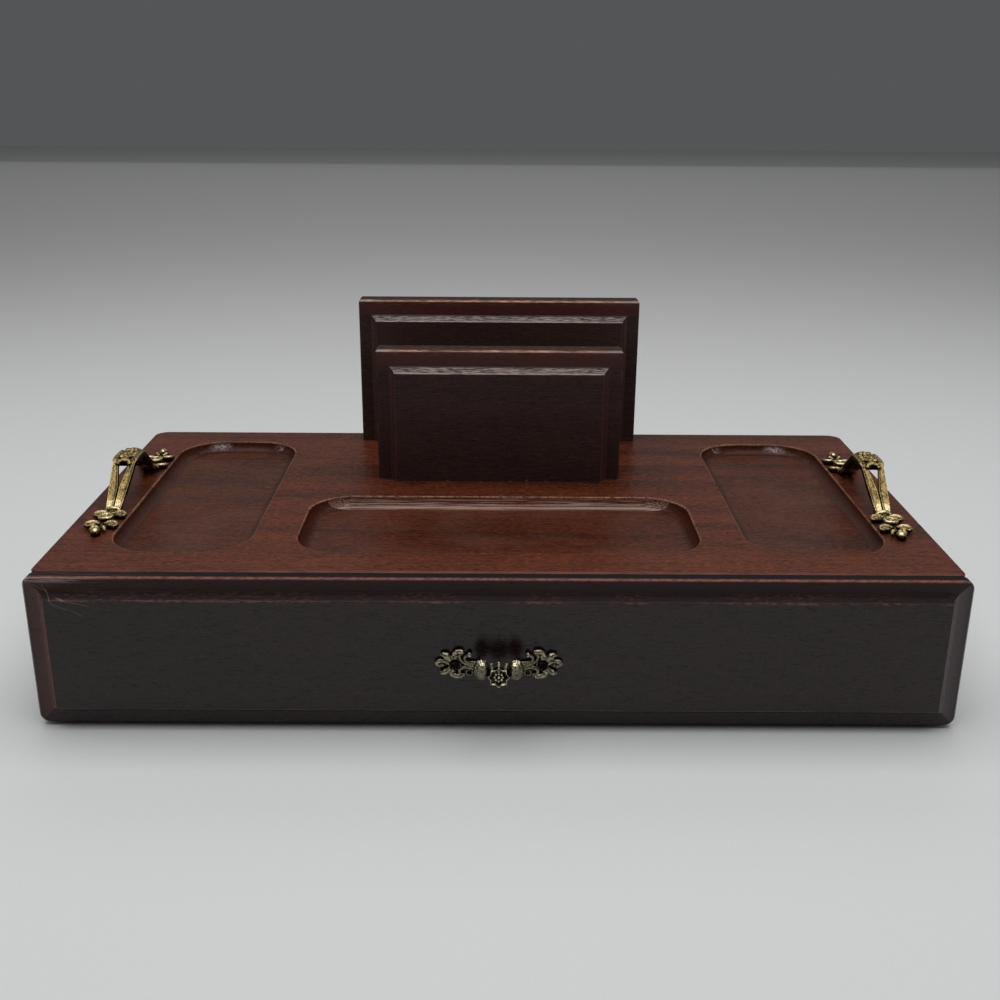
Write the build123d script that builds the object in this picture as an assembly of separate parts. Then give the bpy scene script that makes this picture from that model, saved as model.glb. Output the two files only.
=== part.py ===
from build123d import *
import os
from math import cos, radians, sin

# A wooden valet box for a dresser top: a shallow case with one drawer, three trays routed into
# its top, a letter holder at the back and a cast brass handle near each end.
# Millimetres. X is the width, Y runs from the front to the back and Z is up. The origin lies on
# the surface that the box stands on, under the middle of its overall outline.

# Case
case_width = 406.4
case_depth = 209.0
case_height = 71.8
top_thickness = 19.0
side_thickness = 12.0
back_thickness = 9.5
base_thickness = 6.4
rebate_width = 6.3
back_corner_radius = 8.0
front_corner_radius = 3.0
arris = 0.8
felt_thickness = 1.2
felt_inset = 4.0

# Trays routed into the top
tray_depth = 5.5
tray_cove_wall = 0.3
tray_lip = 0.5
side_tray_width = 64.5
side_tray_length = 168.0
side_tray_corner = 23.0
centre_tray_length = 75.5
centre_tray_corner = 21.0
tray_front_margin = 21.2
side_tray_margin = 24.0
tray_gap = 21.2

# Letter holder
board_thickness = 16.0
back_board_width = 158.0
back_board_height = 82.4
front_board_width = 127.0
front_board_height = 69.4
back_board_setback = 3.6
letter_slot = 53.0
board_arris = 1.1
board_top_shoulder = 8.4

# Raised field with a coved border, cut on the letter boards and the drawer front
cove_shoulder = 6.4
cove_width = 3.1
cove_depth = 4.7
cove_bulge = 0.55

# Drawer
front_side_overlap = 1.6
front_thickness = 9.6
front_top_drop = 0.5
front_floor_gap = 1.4
front_gap = 1.2
front_corner = 4.6
drawer_wall = 9.5
drawer_side_gap = 1.0
drawer_top_gap = 2.4
drawer_running_gap = 0.3
drawer_bottom_thickness = 3.2
drawer_bottom_lift = 4.0
groove_depth = 4.5
groove_clearance = 0.15
drawer_back_inset = 9.0
liner_thickness = 1.5
liner_gap = 0.4
stop_depth = 6.0
stop_width = 16.0
stop_height = 9.0

# Handles
handle_inset = 16.2
handle_y_from_front = 101.0
handle_screw_spacing = 88.9
bow_height = 20.6
bow_thickness = 2.8
bow_shoulder = 7.0
bow_foot = 33.0
bow_toe = 8.0
bow_bend_radius = 11.0
bow_foot_radius = 5.0
bow_middle_width = 12.4
bow_waist_width = 10.9
bow_foot_width = 8.0
bow_foot_sink = 0.8
crown_half_length = 7.4
window_start = 8.8
window_end = 21.0
window_width = 5.8
window_arch = 1.2
bar_slit = 0.9
crown_sink = 0.4
crown_petals = 6
crown_petal_reach = 5.3
crown_notch_reach = 3.9
crown_height = 1.2
crown_button_radius = 2.3
crown_button_height = 0.7
stud_sides = 8
stud_taper = 14
foot_thickness = 2.2
foot_spine_width = 6.4
foot_end_from_screw = 19.4
foot_eye_radius = 3.9
foot_eye_height = 4.4
foot_knob_radius = 3.1
foot_knob_height = 4.2
foot_scroll_radius = 2.9
foot_scroll_height = 3.6
outer_scroll_out = 5.3
outer_scroll_along = 7.5
inner_scroll_out = 4.6
inner_scroll_along = 6.5

# Drawer pull
pull_screw_spacing = 38.1
pull_drop = 2.4
pull_reach = 14.0
pull_plate_thickness = 1.7
pull_leaf_reach = 8.3
pull_leaf_half_height = 5.2
leaf_points = 10
leaf_notch = 0.74
leaf_slot_length = 2.6
leaf_slot_width = 0.9
leaf_slot_rise = 1.6
pull_boss_radius = 2.9
pull_boss_height = 3.4
pull_arm_spacing = 17.4
pull_arm_width = 3.8
pull_arm_height = 5.6
pull_knuckle_width = 6.0
pull_knuckle_height = 9.5
pull_knuckle_depth = 6.4
pull_knuckle_chamfer = 1.7
pull_knuckle_rise = 2.4
pull_knuckle_setback = 0.6
pull_bar_radius = 1.9
pull_bar_chamfer = 0.9
pull_shield_radius = 4.7
shield_notch_radius = 3.7
shield_thickness = 2.6
shield_dish_radius = 3.3
shield_dish_depth = 0.8
shield_button_radius = 1.1
shield_button_height = 0.9
shield_points = 8
prong_width = 1.0
prong_height = 2.4
prong_spacing = 2.1

# Screws
board_screw_diameter = 3.5
board_screw_length = 41.0
board_screw_inset = 26.0
handle_screw_diameter = 3.9
handle_screw_bite = 3.2
hex_head_width = 6.6
hex_head_height = 1.7
head_clearance = 0.6
pull_screw_diameter = 2.9
pull_screw_bite = 2.4
round_head = 6.4
round_head_height = 1.8
hole_clearance = 0.1

# Levels and places that follow from the sizes above
case_bottom = felt_thickness
case_top = case_bottom + case_height
top_underside = case_top - top_thickness
base_top = case_bottom + base_thickness
front_reach = front_gap + front_thickness + pull_reach
case_front = (front_reach - case_depth) / 2
case_back = case_front + case_depth
face_y = case_front - front_gap - front_thickness
front_back_y = case_front - front_gap
front_bottom = front_floor_gap
front_top = case_top - front_top_drop
front_width = case_width + 2 * front_side_overlap
centre_tray_width = case_width - 2 * (side_tray_margin + side_tray_width + tray_gap)
tray_cove = tray_depth - tray_cove_wall
inner_half = case_width / 2 - side_thickness
back_inner_y = case_back - back_thickness
drawer_half = inner_half - drawer_side_gap
drawer_floor = base_top + drawer_running_gap
drawer_ceiling = top_underside - drawer_top_gap
drawer_rear = back_inner_y - stop_depth
drawer_bottom_z = drawer_floor + drawer_bottom_lift
drawer_bottom_top = drawer_bottom_z + drawer_bottom_thickness
inner_front_back_y = front_back_y + drawer_wall
drawer_back_front_y = drawer_rear - drawer_back_inset - drawer_wall
board_back_y = case_back - back_board_setback
back_board_y = board_back_y - board_thickness
front_board_y = back_board_y - letter_slot - board_thickness
handle_x = case_width / 2 - handle_inset
handle_y = case_front + handle_y_from_front
pull_z = (front_bottom + front_top) / 2 - pull_drop
hex_head_reach = hex_head_width / 2 / cos(radians(30))
back_screw_y = back_inner_y - head_clearance - hex_head_reach
board_screw_setback = back_screw_y - back_board_y
overshoot = 1.0


def block(x0, x1, y0, y1, z0, z1):
    """A block between two opposite corners."""
    return Pos((x0 + x1) / 2, (y0 + y1) / 2, (z0 + z1) / 2) * Box(x1 - x0, y1 - y0, z1 - z0)


# Joinery and screws

def screw(diameter, length, head):
    """A screw with its shank along +Z from the seat of its head at the origin."""
    return head + extrude(Circle(diameter / 2), length)


def hex_head():
    """A low six-sided head under z = 0."""
    return extrude(RegularPolygon(hex_head_reach, 6, rotation=30), -hex_head_height)


def round_headed():
    """A low round head under z = 0."""
    return extrude(Circle(round_head / 2), -round_head_height)


def screw_hole(diameter, length):
    """The hole for a shank along +Z from the origin."""
    radius = diameter / 2 + hole_clearance / 2
    return Pos(0, 0, length / 2) * Cylinder(radius, length)


def joined(parts):
    """Separate solids kept in one group."""
    return Compound(children=[p for part in parts for p in part.solids()])


# Coved border

def cove_cutter(start, inward, length, shoulder):
    """The wood that a router takes from one edge: a flat shoulder, then a cove up to the field."""
    run = Vector(*inward).cross(Vector(0, 1, 0))
    plane = Plane(origin=start, x_dir=inward, z_dir=run)
    inner = shoulder + cove_width
    middle = ((shoulder + inner) / 2 + cove_bulge, cove_depth / 2 + cove_bulge)
    outline = Polyline((inner, 0), (inner, -overshoot), (-overshoot, -overshoot),
                       (-overshoot, cove_depth), (shoulder, cove_depth))
    cove = ThreePointArc((shoulder, cove_depth), middle, (inner, 0))
    return extrude(plane * make_face(outline + cove), length, dir=run)


def cove_borders(board, width, z0, z1, top_shoulder, with_bottom):
    """Cuts the coved border on the sides and top of a board whose field faces -Y at y = 0."""
    half = width / 2
    height = z1 - z0
    board -= cove_cutter((-half, 0, z0 - overshoot), (1, 0, 0), height + 2 * overshoot, cove_shoulder)
    board -= cove_cutter((half, 0, z1 + overshoot), (-1, 0, 0), height + 2 * overshoot, cove_shoulder)
    board -= cove_cutter((-half - overshoot, 0, z1), (0, 0, -1), width + 2 * overshoot, top_shoulder)
    if with_bottom:
        board -= cove_cutter((half + overshoot, 0, z0), (0, 0, 1), width + 2 * overshoot, cove_shoulder)
    return board


# Outline of the case, shared by the top, the sides and the back

def case_form(z0, z1):
    """The whole case as one block between two levels, with its upright corners rounded."""
    half = case_width / 2
    form = block(-half, half, case_front, case_back, z0, z1)
    uprights = form.edges().filter_by(Axis.Z).sort_by(Axis.Y)
    form = fillet(uprights[:2], front_corner_radius)
    uprights = form.edges().filter_by(Axis.Z).sort_by(Axis.Y)
    return fillet(uprights[-2:], back_corner_radius)


# Top panel and its trays

def tray_cutter(x, y, width, length, corner):
    """A tray's hollow: a rounded outline with a cove all round its floor and an eased lip."""
    hollow = extrude(RectangleRounded(width, length, corner), -tray_depth)
    hollow = fillet(hollow.faces().sort_by(Axis.Z)[0].edges(), tray_cove)
    mouth = RectangleRounded(width + 2 * tray_lip, length + 2 * tray_lip, corner + tray_lip)
    hollow += extrude(mouth, -tray_lip, taper=45)
    return Pos(x, y, case_top) * hollow


def tray_places():
    """Each tray's middle, width, length and corner radius, from the left to the right."""
    side_x = case_width / 2 - side_tray_margin - side_tray_width / 2
    side_y = case_front + tray_front_margin + side_tray_length / 2
    centre_y = case_front + tray_front_margin + centre_tray_length / 2
    side = (side_tray_width, side_tray_length, side_tray_corner)
    centre = (centre_tray_width, centre_tray_length, centre_tray_corner)
    return [(-side_x, side_y, *side), (0, centre_y, *centre), (side_x, side_y, *side)]


def handle_screw_places():
    """The four places where a screw comes up through the top into a handle's foot."""
    half = handle_screw_spacing / 2
    return [(x, handle_y + y) for x in (-handle_x, handle_x) for y in (-half, half)]


def board_screw_places():
    """The four places where a screw comes up through the top into a letter board."""
    places = []
    for width, y in ((back_board_width, back_board_y), (front_board_width, front_board_y)):
        places += [(side * (width / 2 - board_screw_inset), y + board_screw_setback) for side in (-1, 1)]
    return places


def make_top_panel():
    """The solid top, with its three trays and the holes for the handles' and boards' screws."""
    panel = case_form(top_underside, case_top)
    panel = chamfer(panel.faces().sort_by(Axis.Z)[-1].edges(), arris)
    for place in tray_places():
        panel -= tray_cutter(*place)
    for x, y in handle_screw_places():
        panel -= Pos(x, y, top_underside) * screw_hole(handle_screw_diameter, top_thickness)
    for x, y in board_screw_places():
        panel -= Pos(x, y, top_underside) * screw_hole(board_screw_diameter, top_thickness)
    return panel


# Case

def make_side(sign):
    """A side of the case, rebated inside for the back and the base."""
    inner = sign * inner_half
    x0, x1 = sorted((inner, sign * case_width / 2))
    side = block(x0, x1, case_front, case_back, case_bottom, top_underside)
    side &= case_form(case_bottom, top_underside)
    deep = inner + sign * rebate_width
    x0, x1 = sorted((deep, inner - sign * overshoot))
    side -= block(x0, x1, back_inner_y, case_back + overshoot, case_bottom - overshoot,
                  top_underside + overshoot)
    side -= block(x0, x1, case_front - overshoot, case_back, case_bottom - overshoot, base_top)
    return side


def make_back_panel():
    """The back, let into the sides, over the rear edge of the base."""
    half = inner_half + rebate_width
    back = block(-half, half, back_inner_y, case_back, case_bottom, top_underside)
    return back & case_form(case_bottom, top_underside)


def make_base_panel():
    """The base that the drawer runs on, let into the sides and in front of the back."""
    half = inner_half + rebate_width
    return block(-half, half, case_front, back_inner_y, case_bottom, base_top)


def make_base_felt():
    """The felt sheet under the base that the box stands on."""
    half = case_width / 2 - felt_inset
    return block(-half, half, case_front + felt_inset, case_back - felt_inset, 0, felt_thickness)


def make_drawer_stops():
    """Two blocks glued into the back corners, which the closed drawer's sides meet."""
    stops = []
    for side in (-1, 1):
        x0, x1 = sorted((side * (inner_half - stop_width), side * inner_half))
        stop = block(x0, x1, drawer_rear, back_inner_y, base_top, base_top + stop_height)
        stops.append(stop)
    return joined(stops)


# Letter holder

def make_letter_board(width, height, y):
    """An upright board with a raised field, coved on its sides and top, eased along its top."""
    half = width / 2
    board = block(-half, half, 0, board_thickness, case_top, case_top + height)
    board = cove_borders(board, width, case_top, case_top + height, board_top_shoulder, False)
    board = chamfer(board.faces().sort_by(Axis.Z)[-1].edges(), board_arris)
    board = Pos(0, y, 0) * board
    for x, hole_y in board_screw_places():
        if y < hole_y < y + board_thickness:
            board -= Pos(x, hole_y, case_top) * screw_hole(board_screw_diameter,
                                                           board_screw_length - top_thickness)
    return board


def make_letter_board_screws():
    """The screws that come up through the top into the boards."""
    one = screw(board_screw_diameter, board_screw_length, hex_head())
    return joined([Pos(x, y, top_underside) * one for x, y in board_screw_places()])


# Drawer

def make_drawer_front():
    """The front that covers the whole case, with a coved border round its raised field."""
    half = front_width / 2
    front = block(-half, half, 0, front_thickness, front_bottom, front_top)
    front = fillet(front.edges().filter_by(Axis.Y), front_corner)
    front = cove_borders(front, front_width, front_bottom, front_top, cove_shoulder, True)
    shoulder = front.faces().filter_by(Axis.Y).sort_by(Axis.Y)[1]
    front = chamfer(shoulder.outer_wire().edges(), arris)
    front = Pos(0, face_y, 0) * front
    for x, z in pull_screw_places():
        front -= Pos(x, front_back_y, z) * along_front(screw_hole(pull_screw_diameter, front_thickness))
    return front


def along_front(part):
    """Turns a part that points along +Z so that it points at the front."""
    return Rot(90, 0, 0) * part


def pull_screw_places():
    """The two places where a screw goes forward into the pull."""
    return [(side * pull_screw_spacing / 2, pull_z) for side in (-1, 1)]


def make_inner_front():
    """The drawer box's own front, rebated at its ends for the sides and grooved for the bottom."""
    front = block(-drawer_half, drawer_half, front_back_y, inner_front_back_y, drawer_floor,
                  drawer_ceiling)
    step = inner_front_back_y - groove_depth
    for sign in (-1, 1):
        x0, x1 = sorted((sign * (drawer_half - drawer_wall), sign * (drawer_half + overshoot)))
        front -= block(x0, x1, step, inner_front_back_y + overshoot, drawer_floor - overshoot,
                       drawer_ceiling + overshoot)
    front -= bottom_groove()
    for x, z in pull_screw_places():
        front -= Pos(x, inner_front_back_y, z) * along_front(screw_hole(pull_screw_diameter, drawer_wall))
    return front


def bottom_groove():
    """The space that the drawer's bottom needs in the walls around it."""
    gap = groove_clearance
    half = drawer_half - drawer_wall + groove_depth
    return block(-half, half, inner_front_back_y - groove_depth, drawer_back_front_y + groove_depth,
                 drawer_bottom_z - gap, drawer_bottom_top + gap)


def make_drawer_side(sign):
    """A drawer side, housed at the front and grooved for the bottom and the back."""
    x0, x1 = sorted((sign * drawer_half, sign * (drawer_half - drawer_wall)))
    side = block(x0, x1, inner_front_back_y - groove_depth, drawer_rear, drawer_floor, drawer_ceiling)
    side -= bottom_groove()
    side -= back_housing()
    return side


def back_housing():
    """The space that the drawer's back takes across the two sides."""
    half = drawer_half - drawer_wall + groove_depth
    return block(-half, half, drawer_back_front_y, drawer_back_front_y + drawer_wall, drawer_floor,
                 drawer_ceiling + overshoot)


def make_drawer_back():
    """The drawer's back, housed into the sides."""
    half = drawer_half - drawer_wall + groove_depth
    back = block(-half, half, drawer_back_front_y, drawer_back_front_y + drawer_wall, drawer_floor,
                 drawer_ceiling)
    return back - bottom_groove()


def make_drawer_bottom():
    """The thin bottom, held in grooves on all four sides."""
    half = drawer_half - drawer_wall + groove_depth - groove_clearance
    return block(-half, half, inner_front_back_y - groove_depth + groove_clearance,
                 drawer_back_front_y + groove_depth - groove_clearance, drawer_bottom_z,
                 drawer_bottom_top)


def make_drawer_liner():
    """The felt laid in the drawer."""
    half = drawer_half - drawer_wall - liner_gap
    return block(-half, half, inner_front_back_y + liner_gap, drawer_back_front_y - liner_gap,
                 drawer_bottom_top, drawer_bottom_top + liner_thickness)


def make_pull_screws():
    """The two screws through both fronts into the pull."""
    length = drawer_wall + front_thickness + pull_screw_bite
    one = along_front(screw(pull_screw_diameter, length, round_headed()))
    return joined([Pos(x, inner_front_back_y, z) * one for x, z in pull_screw_places()])


# Handles

def bow_strip():
    """The bow before its outline is cut: a flat strip bent up over the fingers."""
    top = bow_height - bow_thickness / 2
    low = foot_thickness - bow_thickness / 2 + bow_foot_sink
    toe = bow_foot + bow_toe
    path = FilletPolyline((-toe, low), (-bow_foot, low), (-bow_shoulder, top), (bow_shoulder, top),
                          (bow_foot, low), (toe, low),
                          radius=[bow_foot_radius, bow_bend_radius, bow_bend_radius, bow_foot_radius])
    return extrude(Plane.YZ * trace(path, bow_thickness), bow_middle_width, both=True)


def bow_half_outline():
    """The outline of the bow's back half seen from above: a broad crown, a waist and a slim foot."""
    wide = bow_middle_width / 2
    waist = bow_waist_width / 2
    slim = bow_foot_width / 2
    left_side = [(-wide, 0), (-wide, crown_half_length), (-waist, window_start), (-slim, bow_foot),
                 (-slim, bow_foot + bow_toe)]
    right_side = [(-x, y) for x, y in reversed(left_side)]
    return make_face(Polyline(*left_side, *right_side, close=True))


def bow_window():
    """The opening that parts the bow's back half into two bars: an arched window, then a slit."""
    wide = window_width / 2
    slim = bar_slit / 2
    slit_end = bow_foot - bow_thickness
    sides = Polyline((-wide, window_start), (-slim, window_end), (-slim, slit_end),
                     (slim, slit_end), (slim, window_end), (wide, window_start))
    arch = ThreePointArc((wide, window_start), (0, window_start - window_arch), (-wide, window_start))
    return make_face(sides + arch)


def handle_bow():
    """The bow: a bent strip, tapered to its feet and parted into two bars on each side of its crown."""
    back_half = bow_half_outline() - bow_window()
    outline = back_half + mirror(back_half, Plane.XZ)
    return bow_strip() & extrude(outline, bow_height + overshoot)


def star(reach, notch_reach, points, turn=0.0):
    """A pointed outline round the origin, with its first point turned by some degrees."""
    tips = around(reach, points, turn)
    notches = around(notch_reach, points, turn + 180 / points)
    return make_face(Polyline(*[at for pair in zip(tips, notches) for at in pair], close=True))


def around(reach, count, turn=0.0):
    """Points evenly spaced round the origin, the first one turned by some degrees."""
    angles = [radians(turn + 360 / count * step) for step in range(count)]
    return [(reach * cos(angle), reach * sin(angle)) for angle in angles]


def stud(radius, height):
    """A cast stud with flat sides, tapered to its top."""
    return extrude(RegularPolygon(radius, stud_sides, rotation=180 / stud_sides), height, taper=stud_taper)


def handle_crown():
    """The raised flower on the middle of the bow, with a button at its middle."""
    flower = extrude(star(crown_petal_reach, crown_notch_reach, crown_petals), crown_sink + crown_height)
    button = stud(crown_button_radius, crown_sink + crown_height + crown_button_height)
    return Pos(0, 0, bow_height - crown_sink) * (flower + button)


def handle_foot():
    """A scrolled foot, with its screw eye at the origin and its tip towards +Y."""
    knob_y = foot_end_from_screw - foot_knob_radius
    inner_end = handle_screw_spacing / 2 - bow_foot
    length = knob_y + inner_end
    foot = Pos(0, knob_y - length / 2, foot_thickness / 2) * Box(foot_spine_width, length, foot_thickness)
    foot += stud(foot_eye_radius, foot_eye_height)
    foot += Pos(0, knob_y, 0) * stud(foot_knob_radius, foot_knob_height)
    for side in (-1, 1):
        foot += Pos(side * outer_scroll_out, outer_scroll_along, 0) * stud(foot_scroll_radius,
                                                                           foot_scroll_height)
        foot += Pos(side * inner_scroll_out, -inner_scroll_along, 0) * stud(foot_scroll_radius,
                                                                            foot_scroll_height)
    return foot


def make_handle(sign):
    """A cast handle: the bow with its crown and a scrolled foot at each end."""
    half = handle_screw_spacing / 2
    handle = handle_bow() + handle_crown()
    handle += Pos(0, half, 0) * handle_foot()
    handle += Pos(0, -half, 0) * Rot(0, 0, 180) * handle_foot()
    for y in (-half, half):
        handle -= Pos(0, y, 0) * screw_hole(handle_screw_diameter, handle_screw_bite)
    return Pos(sign * handle_x, handle_y, case_top) * handle


def make_handle_screws():
    """The four screws up through the top into the handles' feet."""
    one = screw(handle_screw_diameter, top_thickness + handle_screw_bite, hex_head())
    return joined([Pos(x, y, top_underside) * one for x, y in handle_screw_places()])


# Drawer pull, drawn flat with its front towards +Z and its foot plates on z = 0

def pull_foot():
    """A pierced leaf foot on the right, with its screw boss at the origin and its tip at +X."""
    leaf = scale(star(1, leaf_notch, leaf_points), by=(pull_leaf_reach, pull_leaf_half_height, 1))
    slot = Rectangle(leaf_slot_width, leaf_slot_length)
    for x in (-1, 1):
        for y in (-1, 1):
            leaf -= Pos(x * (pull_boss_radius + leaf_slot_width), y * leaf_slot_rise) * slot
    foot = extrude(leaf, pull_plate_thickness)
    return foot + Pos(0, 0, pull_boss_height / 2) * Cylinder(pull_boss_radius, pull_boss_height)


def pointed_shield():
    """The eight-pointed shield, hollowed in its middle round a small button."""
    outline = star(pull_shield_radius, shield_notch_radius, shield_points)
    shield = extrude(outline, shield_thickness)
    dish_z = shield_thickness - shield_dish_depth
    dish = extrude(RegularPolygon(shield_dish_radius, shield_points), shield_dish_depth)
    shield -= Pos(0, 0, dish_z) * dish
    return shield + Pos(0, 0, dish_z) * stud(shield_button_radius, shield_button_height)


def pull_knuckle():
    """A faceted knuckle at a bend of the bow, with its front on z = 0."""
    knuckle = Box(pull_knuckle_width, pull_knuckle_height, pull_knuckle_depth)
    knuckle = chamfer(knuckle.edges(), pull_knuckle_chamfer)
    return Pos(0, 0, -pull_knuckle_depth / 2) * knuckle


def make_drawer_pull():
    """The cast pull: two leaf feet, a bow with two knuckles, and a shield at its middle."""
    half = pull_screw_spacing / 2
    arm_x = pull_arm_spacing / 2
    shield_z = pull_reach - shield_thickness
    knuckle_z = pull_reach - pull_knuckle_setback
    bar_z = shield_z - pull_bar_radius / 2
    right = Pos(half, 0, 0) * pull_foot()
    right += Pos(arm_x, pull_knuckle_rise / 2, bar_z / 2) * Box(pull_arm_width, pull_arm_height, bar_z)
    right += Pos((arm_x + half) / 2, 0, pull_plate_thickness / 2) * Box(
        half - arm_x, pull_arm_height, pull_plate_thickness)
    right += Pos(arm_x, pull_knuckle_rise, knuckle_z) * pull_knuckle()
    pull = right + mirror(right, Plane.YZ)
    bar = Box(pull_arm_spacing, 2 * pull_bar_radius, 2 * pull_bar_radius)
    bar = chamfer(bar.edges().filter_by(Axis.X), pull_bar_chamfer)
    pull += Pos(0, pull_knuckle_rise / 2, bar_z) * bar
    pull += Pos(0, 0, shield_z) * pointed_shield()
    prong_length = pull_shield_radius + prong_height
    for step in (-1, 0, 1):
        at = Pos(step * prong_spacing, prong_length / 2, shield_z + prong_width / 2)
        pull += at * Box(prong_width, prong_length, prong_width)
    for x in (-half, half):
        pull -= Pos(x, 0, 0) * screw_hole(pull_screw_diameter, pull_screw_bite)
    return Pos(0, face_y, pull_z) * Rot(90, 0, 0) * pull


def make_parts():
    """Every piece of the box by the name of its node."""
    return {
        "top_panel": make_top_panel(),
        "left_side": make_side(-1),
        "right_side": make_side(1),
        "back_panel": make_back_panel(),
        "base_panel": make_base_panel(),
        "base_felt": make_base_felt(),
        "drawer_stops": make_drawer_stops(),
        "letter_back_board": make_letter_board(back_board_width, back_board_height, back_board_y),
        "letter_front_board": make_letter_board(front_board_width, front_board_height, front_board_y),
        "letter_board_screws": make_letter_board_screws(),
        "left_handle": make_handle(-1),
        "right_handle": make_handle(1),
        "handle_screws": make_handle_screws(),
        "drawer_front": make_drawer_front(),
        "drawer_inner_front": make_inner_front(),
        "drawer_left_side": make_drawer_side(-1),
        "drawer_right_side": make_drawer_side(1),
        "drawer_back": make_drawer_back(),
        "drawer_bottom": make_drawer_bottom(),
        "drawer_liner": make_drawer_liner(),
        "drawer_pull": make_drawer_pull(),
        "pull_screws": make_pull_screws(),
    }


os.makedirs("parts", exist_ok=True)
for name, solid in make_parts().items():
    export_step(solid, f"parts/{name}.step")
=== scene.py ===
"""The looks of a wooden valet box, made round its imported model.

The box is a low case of stained mahogany with one drawer, three trays routed into its top, a letter
holder at the back, a cast handle near each end and a small cast pull. The wooden pieces and the screws
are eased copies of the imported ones. The castings and the felt are modelled anew, in millimetres, and
brought to metres when they are set in place. Colours are display colours, from 0 to 255.
"""

import logging
import math
from collections.abc import Callable, Sequence
from dataclasses import dataclass, field
from enum import Enum

import bmesh
import bpy
import numpy as np
from mathutils import Matrix, Vector


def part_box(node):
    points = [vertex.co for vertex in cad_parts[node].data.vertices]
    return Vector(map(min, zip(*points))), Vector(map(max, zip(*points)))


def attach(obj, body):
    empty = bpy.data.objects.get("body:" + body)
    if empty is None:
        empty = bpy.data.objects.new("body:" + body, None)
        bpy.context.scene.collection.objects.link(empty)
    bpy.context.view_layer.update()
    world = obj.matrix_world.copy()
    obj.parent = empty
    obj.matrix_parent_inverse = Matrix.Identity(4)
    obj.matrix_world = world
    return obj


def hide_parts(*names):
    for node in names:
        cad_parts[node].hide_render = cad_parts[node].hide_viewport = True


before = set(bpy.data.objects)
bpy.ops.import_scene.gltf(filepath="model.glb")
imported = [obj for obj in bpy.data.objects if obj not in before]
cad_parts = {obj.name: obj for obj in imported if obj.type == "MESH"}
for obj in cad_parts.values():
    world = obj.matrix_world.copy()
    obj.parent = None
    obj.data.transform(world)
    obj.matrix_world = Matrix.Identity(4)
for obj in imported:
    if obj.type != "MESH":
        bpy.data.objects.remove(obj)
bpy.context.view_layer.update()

log = logging.getLogger("valet_box")

IMAGE_SIDE = 1000

# A millimetre in metres. The lengths below, and those of the pieces, are in millimetres.
MM = 0.001
MERGE_DISTANCE = 0.002
EASED_ANGLE = math.radians(28)
SMOOTH_ANGLE = math.radians(40)
LEAST_TURN = 1e-4
EDGE_SEARCH = 0.01

Colour = tuple[int, int, int]
Point = tuple[float, float, float]
PlanPoint = tuple[float, float]
Piece = bpy.types.Object
Material = bpy.types.Material

BLACK: Colour = (0, 0, 0)


class Body(Enum):
    """What a piece rides on."""

    CASE = "case"
    DRAWER = "drawer"


class Slot(Enum):
    """The record's name for a finish."""

    TOP_WOOD = "stained_top_wood"
    DARK_WOOD = "stained_dark_wood"
    BARE_WOOD = "drawer_wood"
    PLYWOOD = "drawer_plywood"
    LINER_FELT = "drawer_felt"
    BASE_FELT = "base_felt_sheet"
    BRASS = "antique_brass"
    STEEL = "screw_steel"


class Side(Enum):
    """The left or the right of the box."""

    LEFT = "left"
    RIGHT = "right"


class GrainAxis(Enum):
    """The direction that the grain runs in, as the share of each axis that a pattern keeps."""

    ALONG_X = (0.045, 1.0, 1.0)
    ALONG_Y = (1.0, 0.045, 1.0)


def linear(colour: Colour) -> Point:
    """The linear channels, from 0 to 1, of a display colour."""
    shares = [channel / 255 for channel in colour]
    return tuple(s / 12.92 if s <= 0.04045 else ((s + 0.055) / 1.055) ** 2.4 for s in shares)


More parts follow.
